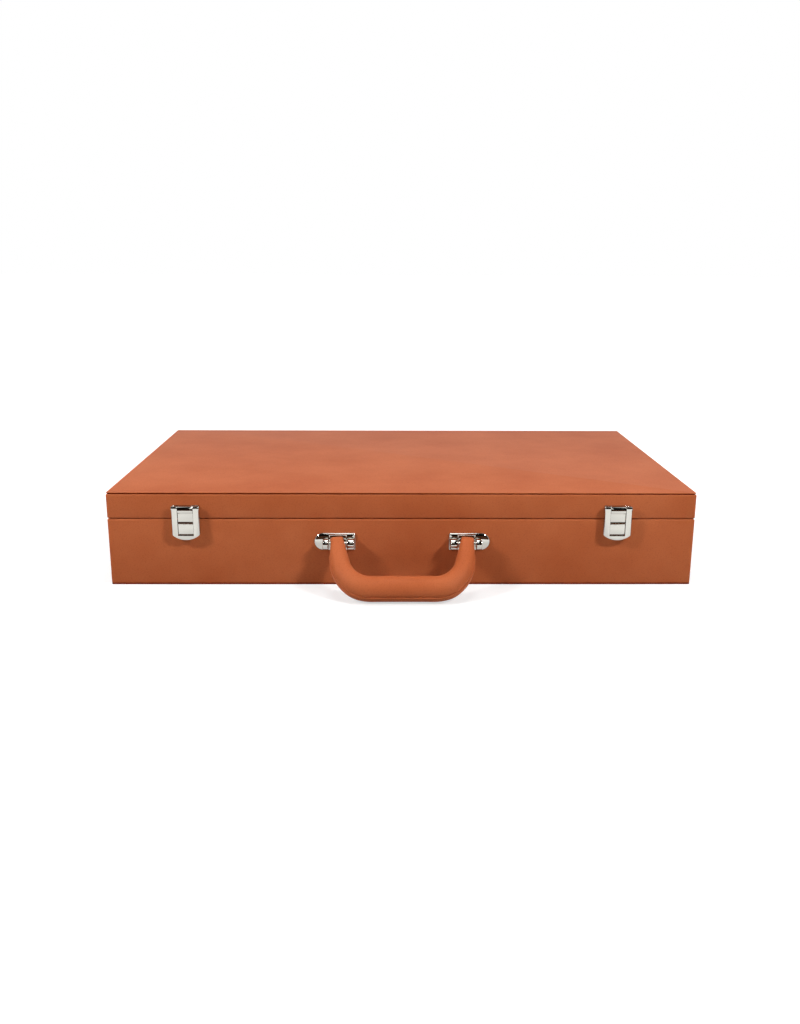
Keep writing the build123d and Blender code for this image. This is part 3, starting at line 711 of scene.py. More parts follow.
handle = {
    "pivotY": -174.5,
    "pivotZ": 43.0,
    "lean": 51.9,
    "lugX": 61.2,
    "drop": 50.4,
    "elbow": 30.0,
    "armLean": 8.0,
    "pathSteps": (16, 24, 8),
    "lugRadius": 7.0,
    "lugHalf": 6.4,
    "cap": {"steps": 7, "turn": 84, "narrowing": 0.9, "shift": 0.4, "squareness": 3.6},
    "crease": {"depth": 0.6, "beside": 0.25, "width": 0.4, "fadeIn": 3.0},
    "stripHalf": 3.0,
    "stripProud": 0.55,
    "stripSunk": 0.8,
    "stripCrown": 0.12,
    "stripRoll": ((0.0, 0.35), (0.12, 0.12), (0.4, 0.0)),      # in from its side and down from its top
    "stripFrom": 11.0,
    "stripGrowth": (2.5, 0.25),      # the length over which it comes up, and the share that it starts with
    "smoothing": 4.0,
    "smoothingSteps": 9,
    # distance down the arm, shift outwards, half width, half thickness, squareness of the section
    "sections": ((0.0, 0.2, 6.4, 7.0, 3.6), (6.0, 0.5, 7.4, 7.3, 3.2), (14.0, 0.7, 8.5, 8.3, 2.6),
                 (24.0, 0.1, 9.3, 9.4, 2.3), (34.0, -0.4, 10.1, 10.4, 2.1), (44.0, -0.3, 10.9, 11.1, 2.0),
                 (54.0, 0.3, 11.9, 11.6, 2.0), (64.0, -0.1, 12.0, 11.8, 2.0), (78.0, -0.35, 12.1, 11.8, 2.0)),
    # angles round the grip in degrees, close together beside the strip
    "fineAngles": (10, 13, 14.5, 16, 17.5, 19, 21, 24, 28, 34, 40),
}


# Points (x, z, distance) from the left lug, down the arm, round the elbow and along the bar, then the same mirrored
def handlePath():
    lean, elbow, lugX = math.radians(handle["armLean"]), handle["elbow"], handle["lugX"]
    depth = handle["drop"] - elbow
    along = (depth + elbow * math.sin(lean)) / math.cos(lean)
    centreX = lugX - along * math.sin(lean) - elbow * math.cos(lean)
    armSteps, elbowSteps, barSteps = handle["pathSteps"]
    half = []
    for i in range(armSteps):
        s = along * i / armSteps
        half.append((lugX - s * math.sin(lean), -s * math.cos(lean), s))
    for i in range(elbowSteps + 1):
        turned = (math.pi / 2 - lean) * i / elbowSteps
        a = lean + turned
        half.append((centreX + elbow * math.cos(a), -depth - elbow * math.sin(a), along + elbow * turned))
    reach = half[-1][2]
    for i in range(1, barSteps + 1):
        x = centreX * (1 - i / barSteps)
        half.append((x, -handle["drop"], reach + centreX - x))
    return [(-x, z, s) for x, z, s in half] + half[-2::-1]


# The section a distance down the arm, averaged over a short length so that the sides run smoothly
def sectionAt(s):
    rows = handle["sections"]
    total = [0.0] * 4
    steps = handle["smoothingSteps"]
    for k in range(steps):
        here = min(max(s + handle["smoothing"] * (2 * k / (steps - 1) - 1), 0.0), rows[-1][0])
        a, b = next((a, b) for a, b in zip(rows, rows[1:]) if here <= b[0])
        t = (here - a[0]) / (b[0] - a[0])
        total = [sumSoFar + (p + t * (q - p)) / steps for sumSoFar, p, q in zip(total, a[1:], b[1:])]
    return total


def leaned(mesh):
    mesh.transform(at(0, handle["pivotY"], handle["pivotZ"]) @ Matrix.Rotation(math.radians(-handle["lean"]), 4, "X"))
    return mesh


def pathFrames(path):
    frames = []
    for i, (x, z, s) in enumerate(path):
        before, after = path[max(i - 1, 0)], path[min(i + 1, len(path) - 1)]
        tangent = Vector((after[0] - before[0], 0, after[1] - before[1])).normalized()
        frames.append((Vector((x, 0, z)), tangent, Vector((tangent.z, 0, -tangent.x)), s))
    return frames


def gripAngles():
    beside = handle["fineAngles"]
    return [math.radians(a) for a in [-a for a in reversed(beside)] + [-6, -2, 2, 6, *beside, *range(50, 311, 10)]]


def gripPoint(angle, centre, outward, width, thick, square, groove):
    c, s = math.cos(angle), math.sin(angle)
    across = width * math.copysign(abs(c) ** (2 / square), c)
    through = thick * math.copysign(abs(s) ** (2 / square), s)
    crease = handle["crease"]
    fromCrease = abs(math.degrees(math.atan2(s, c))) * math.radians(1) * thick - handle["stripHalf"] - crease["beside"]
    sink = groove * crease["depth"] * math.exp(-(fromCrease / crease["width"]) ** 2)
    return (centre + outward * (across - sink * c) + Vector((0, through - sink * s, 0))) * mm


# The grip's rounded end over a lug, ring by ring outwards
def capRows(frame, direction):
    centre, tangent, outward, s = frame
    cap = handle["cap"]
    rows = []
    for i in range(1, cap["steps"] + 1):
        a = math.radians(cap["turn"] * i / cap["steps"])
        reach = direction * handle["lugRadius"] * math.sin(a)
        rows.append((centre + tangent * reach + outward * cap["shift"], outward,
                     handle["lugHalf"] - cap["narrowing"] * (1 - math.cos(a)), handle["lugRadius"] * math.cos(a),
                     cap["squareness"], 0.0))
    return rows


def buildGrip(frames):
    rows = capRows(frames[0], -1)[::-1]
    for centre, tangent, outward, s in frames:
        shift, width, thick, square = sectionAt(s)
        groove = min(max((s - handle["stripFrom"]) / handle["crease"]["fadeIn"], 0.0), 1.0)
        rows.append((centre + outward * shift, outward, width, thick, square, groove))
    rows += capRows(frames[-1], 1)
    bm = bmesh.new()
    joinRings(bm, [[bm.verts.new(gripPoint(a, *row)) for a in gripAngles()] for row in rows])
    cover = newPiece("gripCover", leaned(meshFrom(bm, "gripCover")), leathercloth, "leathercloth", ["handle_grip"],
                     smoothAngle=60)


# The strip: a folded band glued and stitched on, a little proud, with rolled edges
def buildStrip(frames):
    half, proud = handle["stripHalf"], handle["stripProud"]
    edge = [(half, -handle["stripSunk"])] + [(half - inward, proud - down) for inward, down in handle["stripRoll"]]
    flat = edge[-1][0]
    growth, least = handle["stripGrowth"]
    crown = [(-flat + 2 * flat * i / 6, proud + handle["stripCrown"] * math.sin(math.pi * i / 6)) for i in range(1, 6)]
    outline = [(-side, rise) for side, rise in edge] + crown + edge[::-1]
    bm = bmesh.new()
    rings = []
    for centre, tangent, outward, s in frames:
        if s < handle["stripFrom"]:
            continue
        shift, width, thick, square = sectionAt(s)
        grow = min(max((s - handle["stripFrom"]) / growth, least), 1.0)
        ring = []
        for side, rise in outline:
            angle = side * grow / thick
            radial = outward * math.cos(angle) * (width + rise * grow)
            radial += Vector((0, math.sin(angle) * (thick + rise * grow), 0))
            ring.append(bm.verts.new((centre + outward * shift + radial) * mm))
        rings.append(ring)
    joinRings(bm, rings)
    newPiece("gripStrip", leaned(meshFrom(bm, "gripStrip")), leathercloth, "leathercloth", ["handle_welt"],
             smoothAngle=60)


handleFrames = pathFrames(handlePath())
buildGrip(handleFrames)
buildStrip(handleFrames)
dressNode("handle_core", nickel)
print("handle padded")


# Handle brackets: stamped plates with domed edges, two rolled knuckles and a rim round the lug

bracket = {
    "innerEnd": 44.6,
    "outerEnd": 84.0,
    "middleZ": 43.45,
    "halfHeight": 8.55,
    "proud": 3.0,
    "edge": 0.4,
    "domeWidth": 8.4,
    "domeAngles": (0, 10, 20, 30, 41, 53, 66, 80),
    "cornerRadius": 1.2,
    "knuckleRadius": 5.4,
    "knuckleFoot": 4.9,
    "knuckleEdge": 0.9,
    "knuckles": ((45.6, 52.5), (69.9, 75.5)),
    "rimHalf": 8.5,
    "rimSheet": 1.2,
    "rimFrom": 2.0,
    "rimProud": 5.2,
    "rimTop": 51.6,
    "rimLeg": 3.2,
    "rimRound": 0.35,
    "lugRoom": 7.3,
    "sunk": {"plate": 0.05, "knuckle": 0.2},      # into the wall
}


def plateLoop(inset):
    middle, half = bracket["middleZ"], bracket["halfHeight"]
    turn = max(bracket["cornerRadius"] - inset, 0.1)
    inner = bracket["innerEnd"] + inset + turn
    loop = arc(inner, middle - half + inset + turn, turn, 180, 270, 4)
    loop += arc(bracket["outerEnd"] - half, middle, half - inset, -90, 90, 24)
    return loop + arc(inner, middle + half - inset - turn, turn, 90, 180, 4)


def knuckleLoop(shrink):
    radius, foot = bracket["knuckleRadius"] - shrink, bracket["knuckleFoot"] - shrink
    reach = math.degrees(math.asin(foot / radius))
    rear = -case["halfDepth"] + bracket["sunk"]["knuckle"]
    loop = [(handle["pivotY"] - y, handle["pivotZ"] + z) for y, z in arc(0, 0, radius, -reach, reach, 20)]
    return loop + [(rear, handle["pivotZ"] + foot), (rear, handle["pivotZ"] - foot)]


# The plate: a flat face with a domed edge, cut out where the lug stands
def makePlate(side):
    face, dome = -case["halfDepth"], bracket["proud"] - bracket["edge"]
    turns = [math.radians(a) for a in bracket["domeAngles"]]
    profile = [(0.0, -bracket["sunk"]["plate"])]
    profile += [(bracket["domeWidth"] * (1 - math.cos(a)), bracket["edge"] + dome * math.sin(a)) for a in turns]
    bm = bmesh.new()
    joinRings(bm, [ringOf(bm, [(side * x, face - out, z) for x, z in plateLoop(inset)]) for inset, out in profile])
    centre, room = side * handle["lugX"], bracket["lugRoom"]
    lug = drawn("lugRoom", addRodX, centre - room, centre + room, handle["pivotY"], handle["pivotZ"], room, 48)
    return carved(meshFrom(bm, "bracketPlate"), lug)


# The rim: a strip folded over the top of the lug's opening
def makeRim(side):
    face, centre = -case["halfDepth"], side * handle["lugX"]
    half, top, sheet = bracket["rimHalf"], bracket["rimTop"], bracket["rimSheet"]
    low = top - bracket["rimLeg"]
    outline = [(-half, low), (-half, top), (half, top), (half, low), (half - sheet, low), (half - sheet, top - sheet),
               (sheet - half, top - sheet), (sheet - half, low)]
    bm = bmesh.new()
    joinRings(bm, [ringOf(bm, [(centre + x, y, z) for x, z in outline])
                   for y in (face - bracket["rimFrom"], face - bracket["rimProud"])])
    return edgesRounded(meshFrom(bm, "bracketRim"), bracket["rimRound"])


def buildBracket(name, side):
    edge = bracket["knuckleEdge"]
    turns = [math.radians(a) for a in (0, 25, 50, 70, 90)]
    ends = [(edge * (1 - math.cos(turn)), edge * (1 - math.sin(turn))) for turn in turns]
    bm = bmesh.new()
    for x0, x1 in bracket["knuckles"]:
        stations = [(x0 + step, shrink) for step, shrink in ends] + [(x1 - step, shrink) for step, shrink in ends[::-1]]
        joinRings(bm, [ringOf(bm, [(side * x, y, z) for y, z in knuckleLoop(shrink)]) for x, shrink in stations])
    stamp(bm, makePlate(side), Matrix())
    stamp(bm, makeRim(side), Matrix())
    newPiece(f"handleBracket_{name}_stamped", meshFrom(bm, "handleBracket"), chrome, "chromed_steel",
             [f"handle_bracket_{name}"], smoothAngle=45)


buildBracket("left", -1)
buildBracket("right", 1)
print("brackets stamped")


# Fasteners: turned heads in the places of the CAD ones, facing out of the wall that they hold

fasteners = {
    # node: head height, shank radius, which way the head faces along Y, cross recess
    "latch_plate_rivets": (0.8, 1.0, -1, False),
    "latch_strike_rivets": (0.8, 1.0, -1, False),
    "hinge_screws_base": (1.3, 1.1, -1, True),
    "hinge_screws_lid": (1.3, 1.1, -1, True),
    "handle_bracket_screws": (2.0, 1.5, 1, True),
}
fastenerHead = {
    # shares of the head's radius and height
    "dome": ((1.0, 0.0), (1.0, 0.3), (0.95, 0.52), (0.84, 0.72), (0.66, 0.87), (0.42, 0.96), (0.15, 1.0)),
    "recess": ((0.62, 0.16), (0.16, 0.62)),
    "recessFloor": 0.35,
}


def buildFasteners(nodeName, height, shankRadius, facing, recessed):
    boxes = solidBoxes(nodeName)
    low, high = boxes[0]
    radius = (high[0] - low[0]) / 2
    length = high[1] - low[1] - height
    profile = [(shankRadius, -length), (shankRadius, 0.0)]
    profile += [(radius * r, height * h) for r, h in fastenerHead["dome"]]
    head = drawn("head", addTurned, profile, Matrix(), 28)
    if recessed:
        floor = height * fastenerHead["recessFloor"]
        slots = [(radius * x, radius * y) for x, y in fastenerHead["recess"]]
        head = carved(head, *[drawn("recess", addBlock, (-x, -y, floor), (x, y, height * 2)) for x, y in slots])
    bm = bmesh.new()
    for low, high in boxes:
        x, y, z = middleOf(low, high)
        base = low[1] + height if facing < 0 else high[1] - height
        stamp(bm, head, at(x, base, z) @ Matrix.Rotation(-facing * math.pi / 2, 4, "X"))
    metal, slot = (nickel, "steel") if recessed else (chrome, "chromed_steel")
    newPiece(nodeName + "_turned", meshFrom(bm, nodeName), metal, slot, [nodeName])


for name, settings in fasteners.items():
    buildFasteners(name, *settings)
for side in ("left", "right"):
    for part in ("base_leaf", "lid_leaf", "pin"):
        name = f"hinge_{side}_{part}"
        newPiece(name + "_rolled", rounded(name, hinges["edge"]), nickel, "steel", [name], smoothAngle=45)
print("hinges and fasteners set")


# Materials of the inside

# Flocked lining cloth: short black fibres glued upright, which take the light softly at the edges
def makeFlock():
    material, tree, where = startMaterial("rayonFlock_electrostatic")
    # fibres are 0.03 mm thick, drawn as 0.7 mm tufts so that they show
    tufts = addNode(tree, "TexNoise", {"Scale": 1000 / 0.7, "Detail": 4.0, "Roughness": 0.7}, {"Vector": where})
    brushed = addNode(tree, "TexNoise", {"Scale": 1000 / 35.0, "Detail": 2.0, "Distortion": 0.8}, {"Vector": where})
    both = addNode(tree, "Math", {"operation": "MULTIPLY_ADD", 1: 0.6}, {0: brushed, 2: tufts})
    level = addNode(tree, "MapRange", {"From Min": 0.5, "From Max": 1.1}, {"Value": both})
    colour = addNode(tree, "Mix", {"data_type": "RGBA", 6: linear("#151517"), 7: linear("#2b2b2f")}, {0: level})
    bump = addNode(tree, "Bump", {"Strength": 0.6, "Distance": 0.15 * mm}, {"Height": tufts})
    return finishMaterial(material, {"Roughness": 0.95, "Specular IOR Level": 0.2, "Sheen Weight": 0.35,
                                     "Sheen Roughness": 0.4}, {"Base Color": colour.outputs[2], "Normal": bump})


# Closed-cell foam, knife cut: tiny open bubbles where the blade went through
def makeFoam():
    material, tree, where = startMaterial("polyethyleneFoam_cut")
    # cells are 0.5 mm across, drawn at 1.2 mm
    cells = addNode(tree, "TexVoronoi", {"Scale": 1000 / 1.2, "Randomness": 1.0}, {"Vector": where})
    drift = addNode(tree, "TexNoise", {"Scale": 1000 / 60.0, "Detail": 3.0}, {"Vector": where})
    # painted shade: each cell is darker towards its middle, where the bump sinks into a bubble
    pit = addNode(tree, "MapRange", {"From Min": 0.0, "From Max": 0.6}, {"Value": cells})
    base = addNode(tree, "Mix", {"data_type": "RGBA", 6: linear("#17181a"), 7: linear("#303236")}, {0: pit})
    colour = addNode(tree, "Mix", {"data_type": "RGBA", "blend_type": "MULTIPLY", 0: 0.5},
                     {6: base.outputs[2], 7: drift})
    bump = addNode(tree, "Bump", {"Strength": 0.5, "Distance": 0.25 * mm}, {"Height": cells})
    return finishMaterial(material, {"Roughness": 0.9, "Specular IOR Level": 0.25},
                          {"Base Color": colour.outputs[2], "Normal": bump})


plastics = {
    # name: pale and deep colour, patch size in mm, lowest and highest roughness, relief size and depth in mm
    # spark-eroded mould: a fine dull grain
    "absBlack_moulded": ("#232427", "#1a1b1d", 30.0, 0.36, 0.5, 0.8, 0.04),
    # tumbled: milky, with a soft gloss; green is the tile's dyed back
    "melamineIvory_tumbled": ("#f1e7cf", "#e9dcbc", 12.0, 0.14, 0.26, 6.0, 0.03),
    "melamineGreen_tumbled": ("#1f7d52", "#17663f", 12.0, 0.14, 0.26, 6.0, 0.03),
    # paint wiped into the marks: flat and a little rough
    "enamelRed_filled": ("#b3221c", "#9c1a16", 3.0, 0.3, 0.5, 0.5, 0.03),
    "enamelBlue_filled": ("#1f3f8c", "#18326f", 3.0, 0.3, 0.5, 0.5, 0.03),
    "enamelGreen_filled": ("#1f7a3c", "#16602d", 3.0, 0.3, 0.5, 0.5, 0.03),
    "enamelBlack_filled": ("#141414", "#1e1e1e", 3.0, 0.3, 0.45, 0.5, 0.03),
    # extruded: glassy, with faint draw lines
    "acrylicMahogany_extruded": ("#4a120c", "#380c08", 90.0, 0.06, 0.14, 40.0, 0.06),
    # tumbled and moulded: bright and smooth, with faint patches
    "ureaWhite_tumbled": ("#efece3", "#e6e2d6", 8.0, 0.12, 0.22, 5.0, 0.02),
    "styreneRed_moulded": ("#a3221b", "#8e1a15", 10.0, 0.2, 0.34, 3.0, 0.02),
    "styreneBlue_moulded": ("#234a94", "#1b3c7c", 10.0, 0.2, 0.34, 3.0, 0.02),
}


# Moulded or cast plastic: a slow drift of colour, patchy gloss and slight unevenness
def makePlastic(name, pale, deep, patch, smooth, rough, reliefSize, reliefDepth):
    material, tree, where = startMaterial(name)
    drift = addNode(tree, "TexNoise", {"Scale": 1000 / patch, "Detail": 3.0}, {"Vector": where})
    relief = addNode(tree, "TexNoise", {"Scale": 1000 / reliefSize, "Detail": 2.0}, {"Vector": where})
    tint = addNode(tree, "MapRange", {"From Min": 0.35, "From Max": 0.65}, {"Value": drift})
    colour = addNode(tree, "Mix", {"data_type": "RGBA", 6: linear(pale), 7: linear(deep)}, {0: tint})
    gloss = addNode(tree, "MapRange", {"From Min": 0.3, "From Max": 0.7, "To Min": smooth, "To Max": rough},
                    {"Value": relief})
    bump = addNode(tree, "Bump", {"Strength": 0.4, "Distance": reliefDepth * mm}, {"Height": relief})
    return finishMaterial(material, {"IOR": 1.49},
                          {"Base Color": colour.outputs[2], "Roughness": gloss, "Normal": bump})


flock = makeFlock()
foam = makeFoam()
plastic = {name: makePlastic(name, *settings) for name, settings in plastics.items()}
tileLayers = [plastic["melamineIvory_tumbled"], plastic["melamineGreen_tumbled"], plastic["enamelGreen_filled"],
              plastic["enamelBlue_filled"], plastic["enamelRed_filled"]]
dieLayers = [plastic["ureaWhite_tumbled"], plastic["enamelBlack_filled"]]
markerLayers = [plastic["melamineIvory_tumbled"], plastic["enamelRed_filled"]]
counterLayers = [plastic["styreneRed_moulded"], plastic["melamineIvory_tumbled"], plastic["styreneBlue_moulded"]]
print("inside materials made")


# Linings: flocked card round the inside of each half

lining = {
    "half": (271.0, 157.5),
    "thickness": 0.8,
    "cornerRadius": 1.5,
    "floor": 7.0,
    "ceiling": 84.3,
    "rimDrop": 0.4,
    "round": 0.35,
}


def buildLinings():
    thick, edge = lining["thickness"], lining["round"]
    for half, flat, up in (("base", lining["floor"], 1), ("lid", lining["ceiling"], -1)):
        rim = case["seam"] - up * (case["seamGap"] / 2 + lining["rimDrop"])
        profile = [(0, flat), (0, rim - up * edge), (edge / 2, rim), (thick - edge / 2, rim), (thick, rim - up * edge),
                   (thick, flat + up * thick)]
        card = drawn(half + "Lining", sweepRound, profile, *lining["half"], lining["cornerRadius"], cornerSteps=4,
                     sideSteps=12)
        newPiece(half + "Lining", carved(card, *hingeClearance(up < 0)), flock, "flocked_cloth", [half + "_lining"])


buildLinings()
print("linings laid")


# Foam insert: one block with two rack troughs, two wells and four tray pockets cut in it

insert = {
    "half": (269.9, 156.4),
    "bottom": 7.8,
    "deck": 63.2,
    "outerRadius": 1.5,
    # room for racks and counters, in front and behind: centre, half size, floor
    "troughs": ((-32.4, 229.5, 39.0, 35.1), (233.5, 28.4, 39.0, 12.8)),
    "troughRadius": 0.3,
    "sideY": 107.1,
    "pocket": {"centresX": (-199.53, -66.51, 66.51, 199.53), "half": (62.65, 57.8), "floor": 29.4, "radius": 1.0},
    "cutAbove": 5.0,
    "edge": 1.2,
    "edgeBelow": 0.5,
    "hingeNotch": {"halfX": 25.6, "y": (153.6, 170.0), "z": (53.1, 80.0)},
    "screwRoom": {"x": (49.05, 72.7), "z": 43.0, "radius": 3.3, "depth": 10.0, "toY": -154.4},
}


def addPocket(bm, x, y, halfX, halfY, floor, radius):
    profile = [(0, floor), (0, insert["deck"] + insert["cutAbove"])]
    sweepRound(bm, profile, halfX, halfY, radius, cornerSteps=4, centre=(x, y))


def addRooms(bm):
    for side in (-1, 1):
        for x, halfX, halfY, floor in insert["troughs"]:
            addPocket(bm, x, side * insert["sideY"], halfX, halfY, floor, insert["troughRadius"])
    pocket, room = insert["pocket"], insert["screwRoom"]
    for x in pocket["centresX"]:
        addPocket(bm, x, 0.0, *pocket["half"], pocket["floor"], pocket["radius"])
    addHingeBlocks(bm, **insert["hingeNotch"])
    for x in [side * reach for side in (-1, 1) for reach in room["x"]]:
        place = at(x, room["toY"], room["z"]) @ Matrix.Rotation(-math.pi / 2, 4, "X")
        addTurned(bm, [(room["radius"], -room["depth"]), (room["radius"], 0.0)], place)


def buildInsert():
    profile = [(0, insert["bottom"]), (0, insert["deck"])]
    block = drawn("foamInsert", sweepRound, profile, *insert["half"], insert["outerRadius"])
    mesh = carved(block, drawn("pockets", addRooms))
    mesh = edgesRounded(mesh, insert["edge"], insert["deck"] - insert["edgeBelow"])
    newPiece("foamInsert", mesh, foam, "foam", ["foam_floors", "foam_long_ribs", "foam_cross_ribs"])


buildInsert()
print("foam insert cut")


# Trays: moulded shells with a thumb scoop in the front and rear walls

tray = {
    "half": (62.35, 57.5),
    "height": 24.0,
    "wall": 1.6,
    "scoopRadius": 11.0,
    "scoopReach": 100.0,
    "cornerRadius": 2.0,
    "edge": 0.55,
    "edgeFrom": 0.2,
    "edgeAngle": 50,
}


def buildTrays():
    wall, high, scoop = tray["wall"], tray["height"], tray["scoopRadius"]
    outside, inside = [drawn("tray", sweepRound, profile, *tray["half"], tray["cornerRadius"], cornerSteps=5)
                       for profile in ([(0, 0), (0, high)], [(wall, wall), (wall, high * 2)])]
    across = at(0, 0, high) @ Matrix.Rotation(math.pi / 2, 4, "X")
    bar = [(scoop, -tray["scoopReach"]), (scoop, tray["scoopReach"])]
    shell = carved(outside, inside, drawn("scoop", addTurned, bar, across, 72))
    shell = edgesRounded(shell, tray["edge"], tray["edgeFrom"], tray["edgeAngle"])
    for number, x in enumerate(insert["pocket"]["centresX"], start=1):
        node = f"tile_tray_{number}"
        mesh = shell.copy()
        mesh.transform(at(x, 0.0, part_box(node)[0][2] / mm))
        newPiece(f"tileTray_{number}_moulded", mesh, plastic["absBlack_moulded"], "tray_plastic", [node])


buildTrays()
print("trays moulded")


# Tiles: ivory faces on dyed backs; the top layer carries plain dots, sticks or a border

tileSpec = {
    "edge": 1.0,
    "cornerRadius": 1.7,
    "backThickness": 5.2,
    "height": 16.0,
    "markSink": 0.12,
    "markProud": 0.03,
    "dotRadius": (0.0, 5.2, 3.4, 3.1, 2.7, 2.5, 2.3, 2.0, 1.95, 1.9),
    "dotReach": (9.0, 5.8),
    "dotShares": (1.0, 0.7, 0.45),
    "dotLayers": ((2, 4), (3, 4), (4, 2)),
    "stick": (3.0, 0.85),
    "singleStick": (7.2, 1.7),
    "stickShares": {"half": 0.48, "from": 0.52, "round": 0.7},
    "border": {"half": (15.07, 11.0), "radius": 3.5, "rings": ((3.0, 3), (4.0, 0), (4.6, 3), (5.2, 0))},
}

# Where the marks of each count stand on the face, along and across it, from -1 to 1
layouts = {
    1: [(0, 0)],
    2: [(-0.7, 0), (0.7, 0)],
    3: [(-0.85, 0.8), (0, 0), (0.85, -0.8)],
    4: [(a, b) for a in (-0.75, 0.75) for b in (-0.75, 0.75)],
    5: [(a, b) for a in (-0.85, 0.85) for b in (-0.85, 0.85)] + [(0, 0)],
    6: [(a, b) for a in (-0.85, 0, 0.85) for b in (-0.7, 0.7)],
    7: [(-0.9, b) for b in (-0.9, 0, 0.9)] + [(a, b) for a in (0.15, 0.9) for b in (-0.6, 0.6)],
    8: [(a, b) for a in (-0.95, -0.32, 0.32, 0.95) for b in (-0.65, 0.65)],
    9: [(a, b) for a in (-0.9, 0, 0.9) for b in (-0.9, 0, 0.9)],
}


def makeTileBody(halfX, halfY):
    edge, high, back = tileSpec["edge"], tileSpec["height"], tileSpec["backThickness"]
    profile = arc(edge, edge, edge, 270, 180, 2) + [(0.0, back)] + arc(edge, high - edge, edge, 180, 90, 3)
    mesh = drawn("tileBody", sweepRound, profile, halfX, halfY, tileSpec["cornerRadius"])
    paintWhere(mesh, lambda face: face.center.z < back * mm)
    return mesh


# Draws a shape and gives its faces one of the tile's materials
def addMark(bm, layer, draw, *args, **settings):
    before = len(bm.faces)
    draw(bm, *args, **settings)
    bm.faces.ensure_lookup_table()
    for face in bm.faces[before:]:
        face.material_index = layer


# A face with a count of dots or sticks, drawn lying flat at the height of the tile's top
def makeFace(kind, count):
    bm = bmesh.new()
    sink, proud = tileSpec["markSink"], tileSpec["markProud"]
    reachX, reachY = tileSpec["dotReach"]
    for i, (along, across) in enumerate(layouts.get(count, [])):
        x, y = along * reachX, across * reachY
        if kind == "dots":
            outer, inner = tileSpec["dotLayers"][(i + count) % 3]
            for level, (share, layer) in enumerate(zip(tileSpec["dotShares"], (outer, 0, inner)), start=1):
                radius = tileSpec["dotRadius"][count] * share
                addMark(bm, layer, addTurned, [(radius, -sink), (radius, proud * level)], at(x, y, 0), 18)
        else:
            half, wide = tileSpec["singleStick" if count == 1 else "stick"]
            shares = tileSpec["stickShares"]
            layer = 4 if i == count // 2 and count % 2 else 2 + i % 2
            for end in (-1, 1):
                addMark(bm, layer, sweepRound, [(0, -sink), (0, proud)], half * shares["half"], wide,
                        wide * shares["round"], centre=(x + end * half * shares["from"], y))
    if kind == "border":
        border = tileSpec["border"]
        for inset, layer in border["rings"]:
            level = proud * (1 + inset - border["rings"][0][0])
            addMark(bm, layer, sweepRound, [(inset, -sink), (inset, level)], *border["half"], border["radius"])
    return meshFrom(bm, "tileFace")


def buildTiles():
    low, high = solidBoxes("tiles_1")[0]
    body = makeTileBody((high[0] - low[0]) / 2, (high[1] - low[1]) / 2)
    faces = [makeFace(kind, count) for kind in ("dots", "sticks") for count in range(1, 10)] + [makeFace("border", 0)]
    for number in range(1, 5):
        bm = bmesh.new()
        boxes = solidBoxes(f"tiles_{number}")
        topLayer = max(low[2] for low, high in boxes) - 1.0
        for i, (low, high) in enumerate(boxes):
            x, y, z = middleOf(low, high)
            where = at(x, y, low[2])
            stamp(bm, body, where)
            if low[2] > topLayer:
                # 7 and 5 share no factor with the number of faces, so the order looks mixed
                stamp(bm, faces[(i * 7 + number * 5) % len(faces)], where @ at(0, 0, tileSpec["height"]))
        newPiece(f"tiles_{number}_engraved", meshFrom(bm, "tiles"), tileLayers, "tile_melamine", [f"tiles_{number}"])


buildTiles()
print("tiles packed")


# Racks: extruded bars with polished edges, the upper one turned over on the lower

rackEdge = 0.6
for end in ("front", "rear"):
    for level in ("lower", "upper"):
        name = f"rack_{end}_{level}"
        bar = rounded(name, rackEdge)
        newPiece(name + "_extruded", bar, plastic["acrylicMahogany_extruded"], "rack_plastic", [name])
print("racks laid")


# Dice, round marker and counters

playing = {
    "dieSide": 12.0,
    "dieRound": 1.7,
    "pipSphere": 1.5,
    "pipLift": 0.85,
    "pipStep": 3.0,
    "pips": (1, 2, 6, 5, 3, 4),      # on the faces in the order of cubeTurns
    "markerRound": 2.0,
    "ring": (4.6, 5.6, 0.45),
    "hub": 1.8,
    "counterEdge": 0.45,
    "counterHollow": (0.62, 0.68, 0.3),      # shares of the radius where it ends, and its depth
    "counterStripes": 8,
    "stripeShare": 0.34,
}


def roundedCube(side, width):
    bm = bmesh.new()
    addBlock(bm, (-side / 2,) * 3, (side / 2,) * 3)
    bmesh.ops.bevel(bm, geom=bm.edges[:], offset=width * mm, segments=4, profile=0.5, affect="EDGES")
    return meshFrom(bm, "cube")


# The turns that bring a cube's top to each of its six faces
def cubeTurns():
    quarter = math.pi / 2
    turns = [Matrix.Rotation(quarter * k, 4, "X") for k in range(4)]
    return turns + [Matrix.Rotation(quarter, 4, "Y"), Matrix.Rotation(-quarter, 4, "Y")]


# Cuts hollows out of a mesh; their faces get the second of two materials
def filledCarving(mesh, cutter, materials):
    for made in (mesh, cutter):
        for material in materials:
            made.materials.append(material)
    paintWhere(cutter, lambda face: True)
    return carved(mesh, cutter)


def makeDie():
    half, step = playing["dieSide"] / 2, playing["pipStep"]
    middle = [(0, 0)]
    pips = [(-step, -step), (step, step), (-step, step), (step, -step), (-step, 0.0), (step, 0.0)]
    patterns = {1: middle, 2: pips[:2], 3: pips[:2] + middle, 4: pips[:4], 5: pips[:4] + middle, 6: pips}
    bm = bmesh.new()
    for turn, count in zip(cubeTurns(), playing["pips"]):
        for x, y in patterns[count]:
            bmesh.ops.create_uvsphere(bm, u_segments=16, v_segments=10, radius=playing["pipSphere"] * mm,
                                      matrix=turn @ at(x, y, half + playing["pipLift"]))
    return filledCarving(roundedCube(playing["dieSide"], playing["dieRound"]), meshFrom(bm, "pips"), dieLayers)


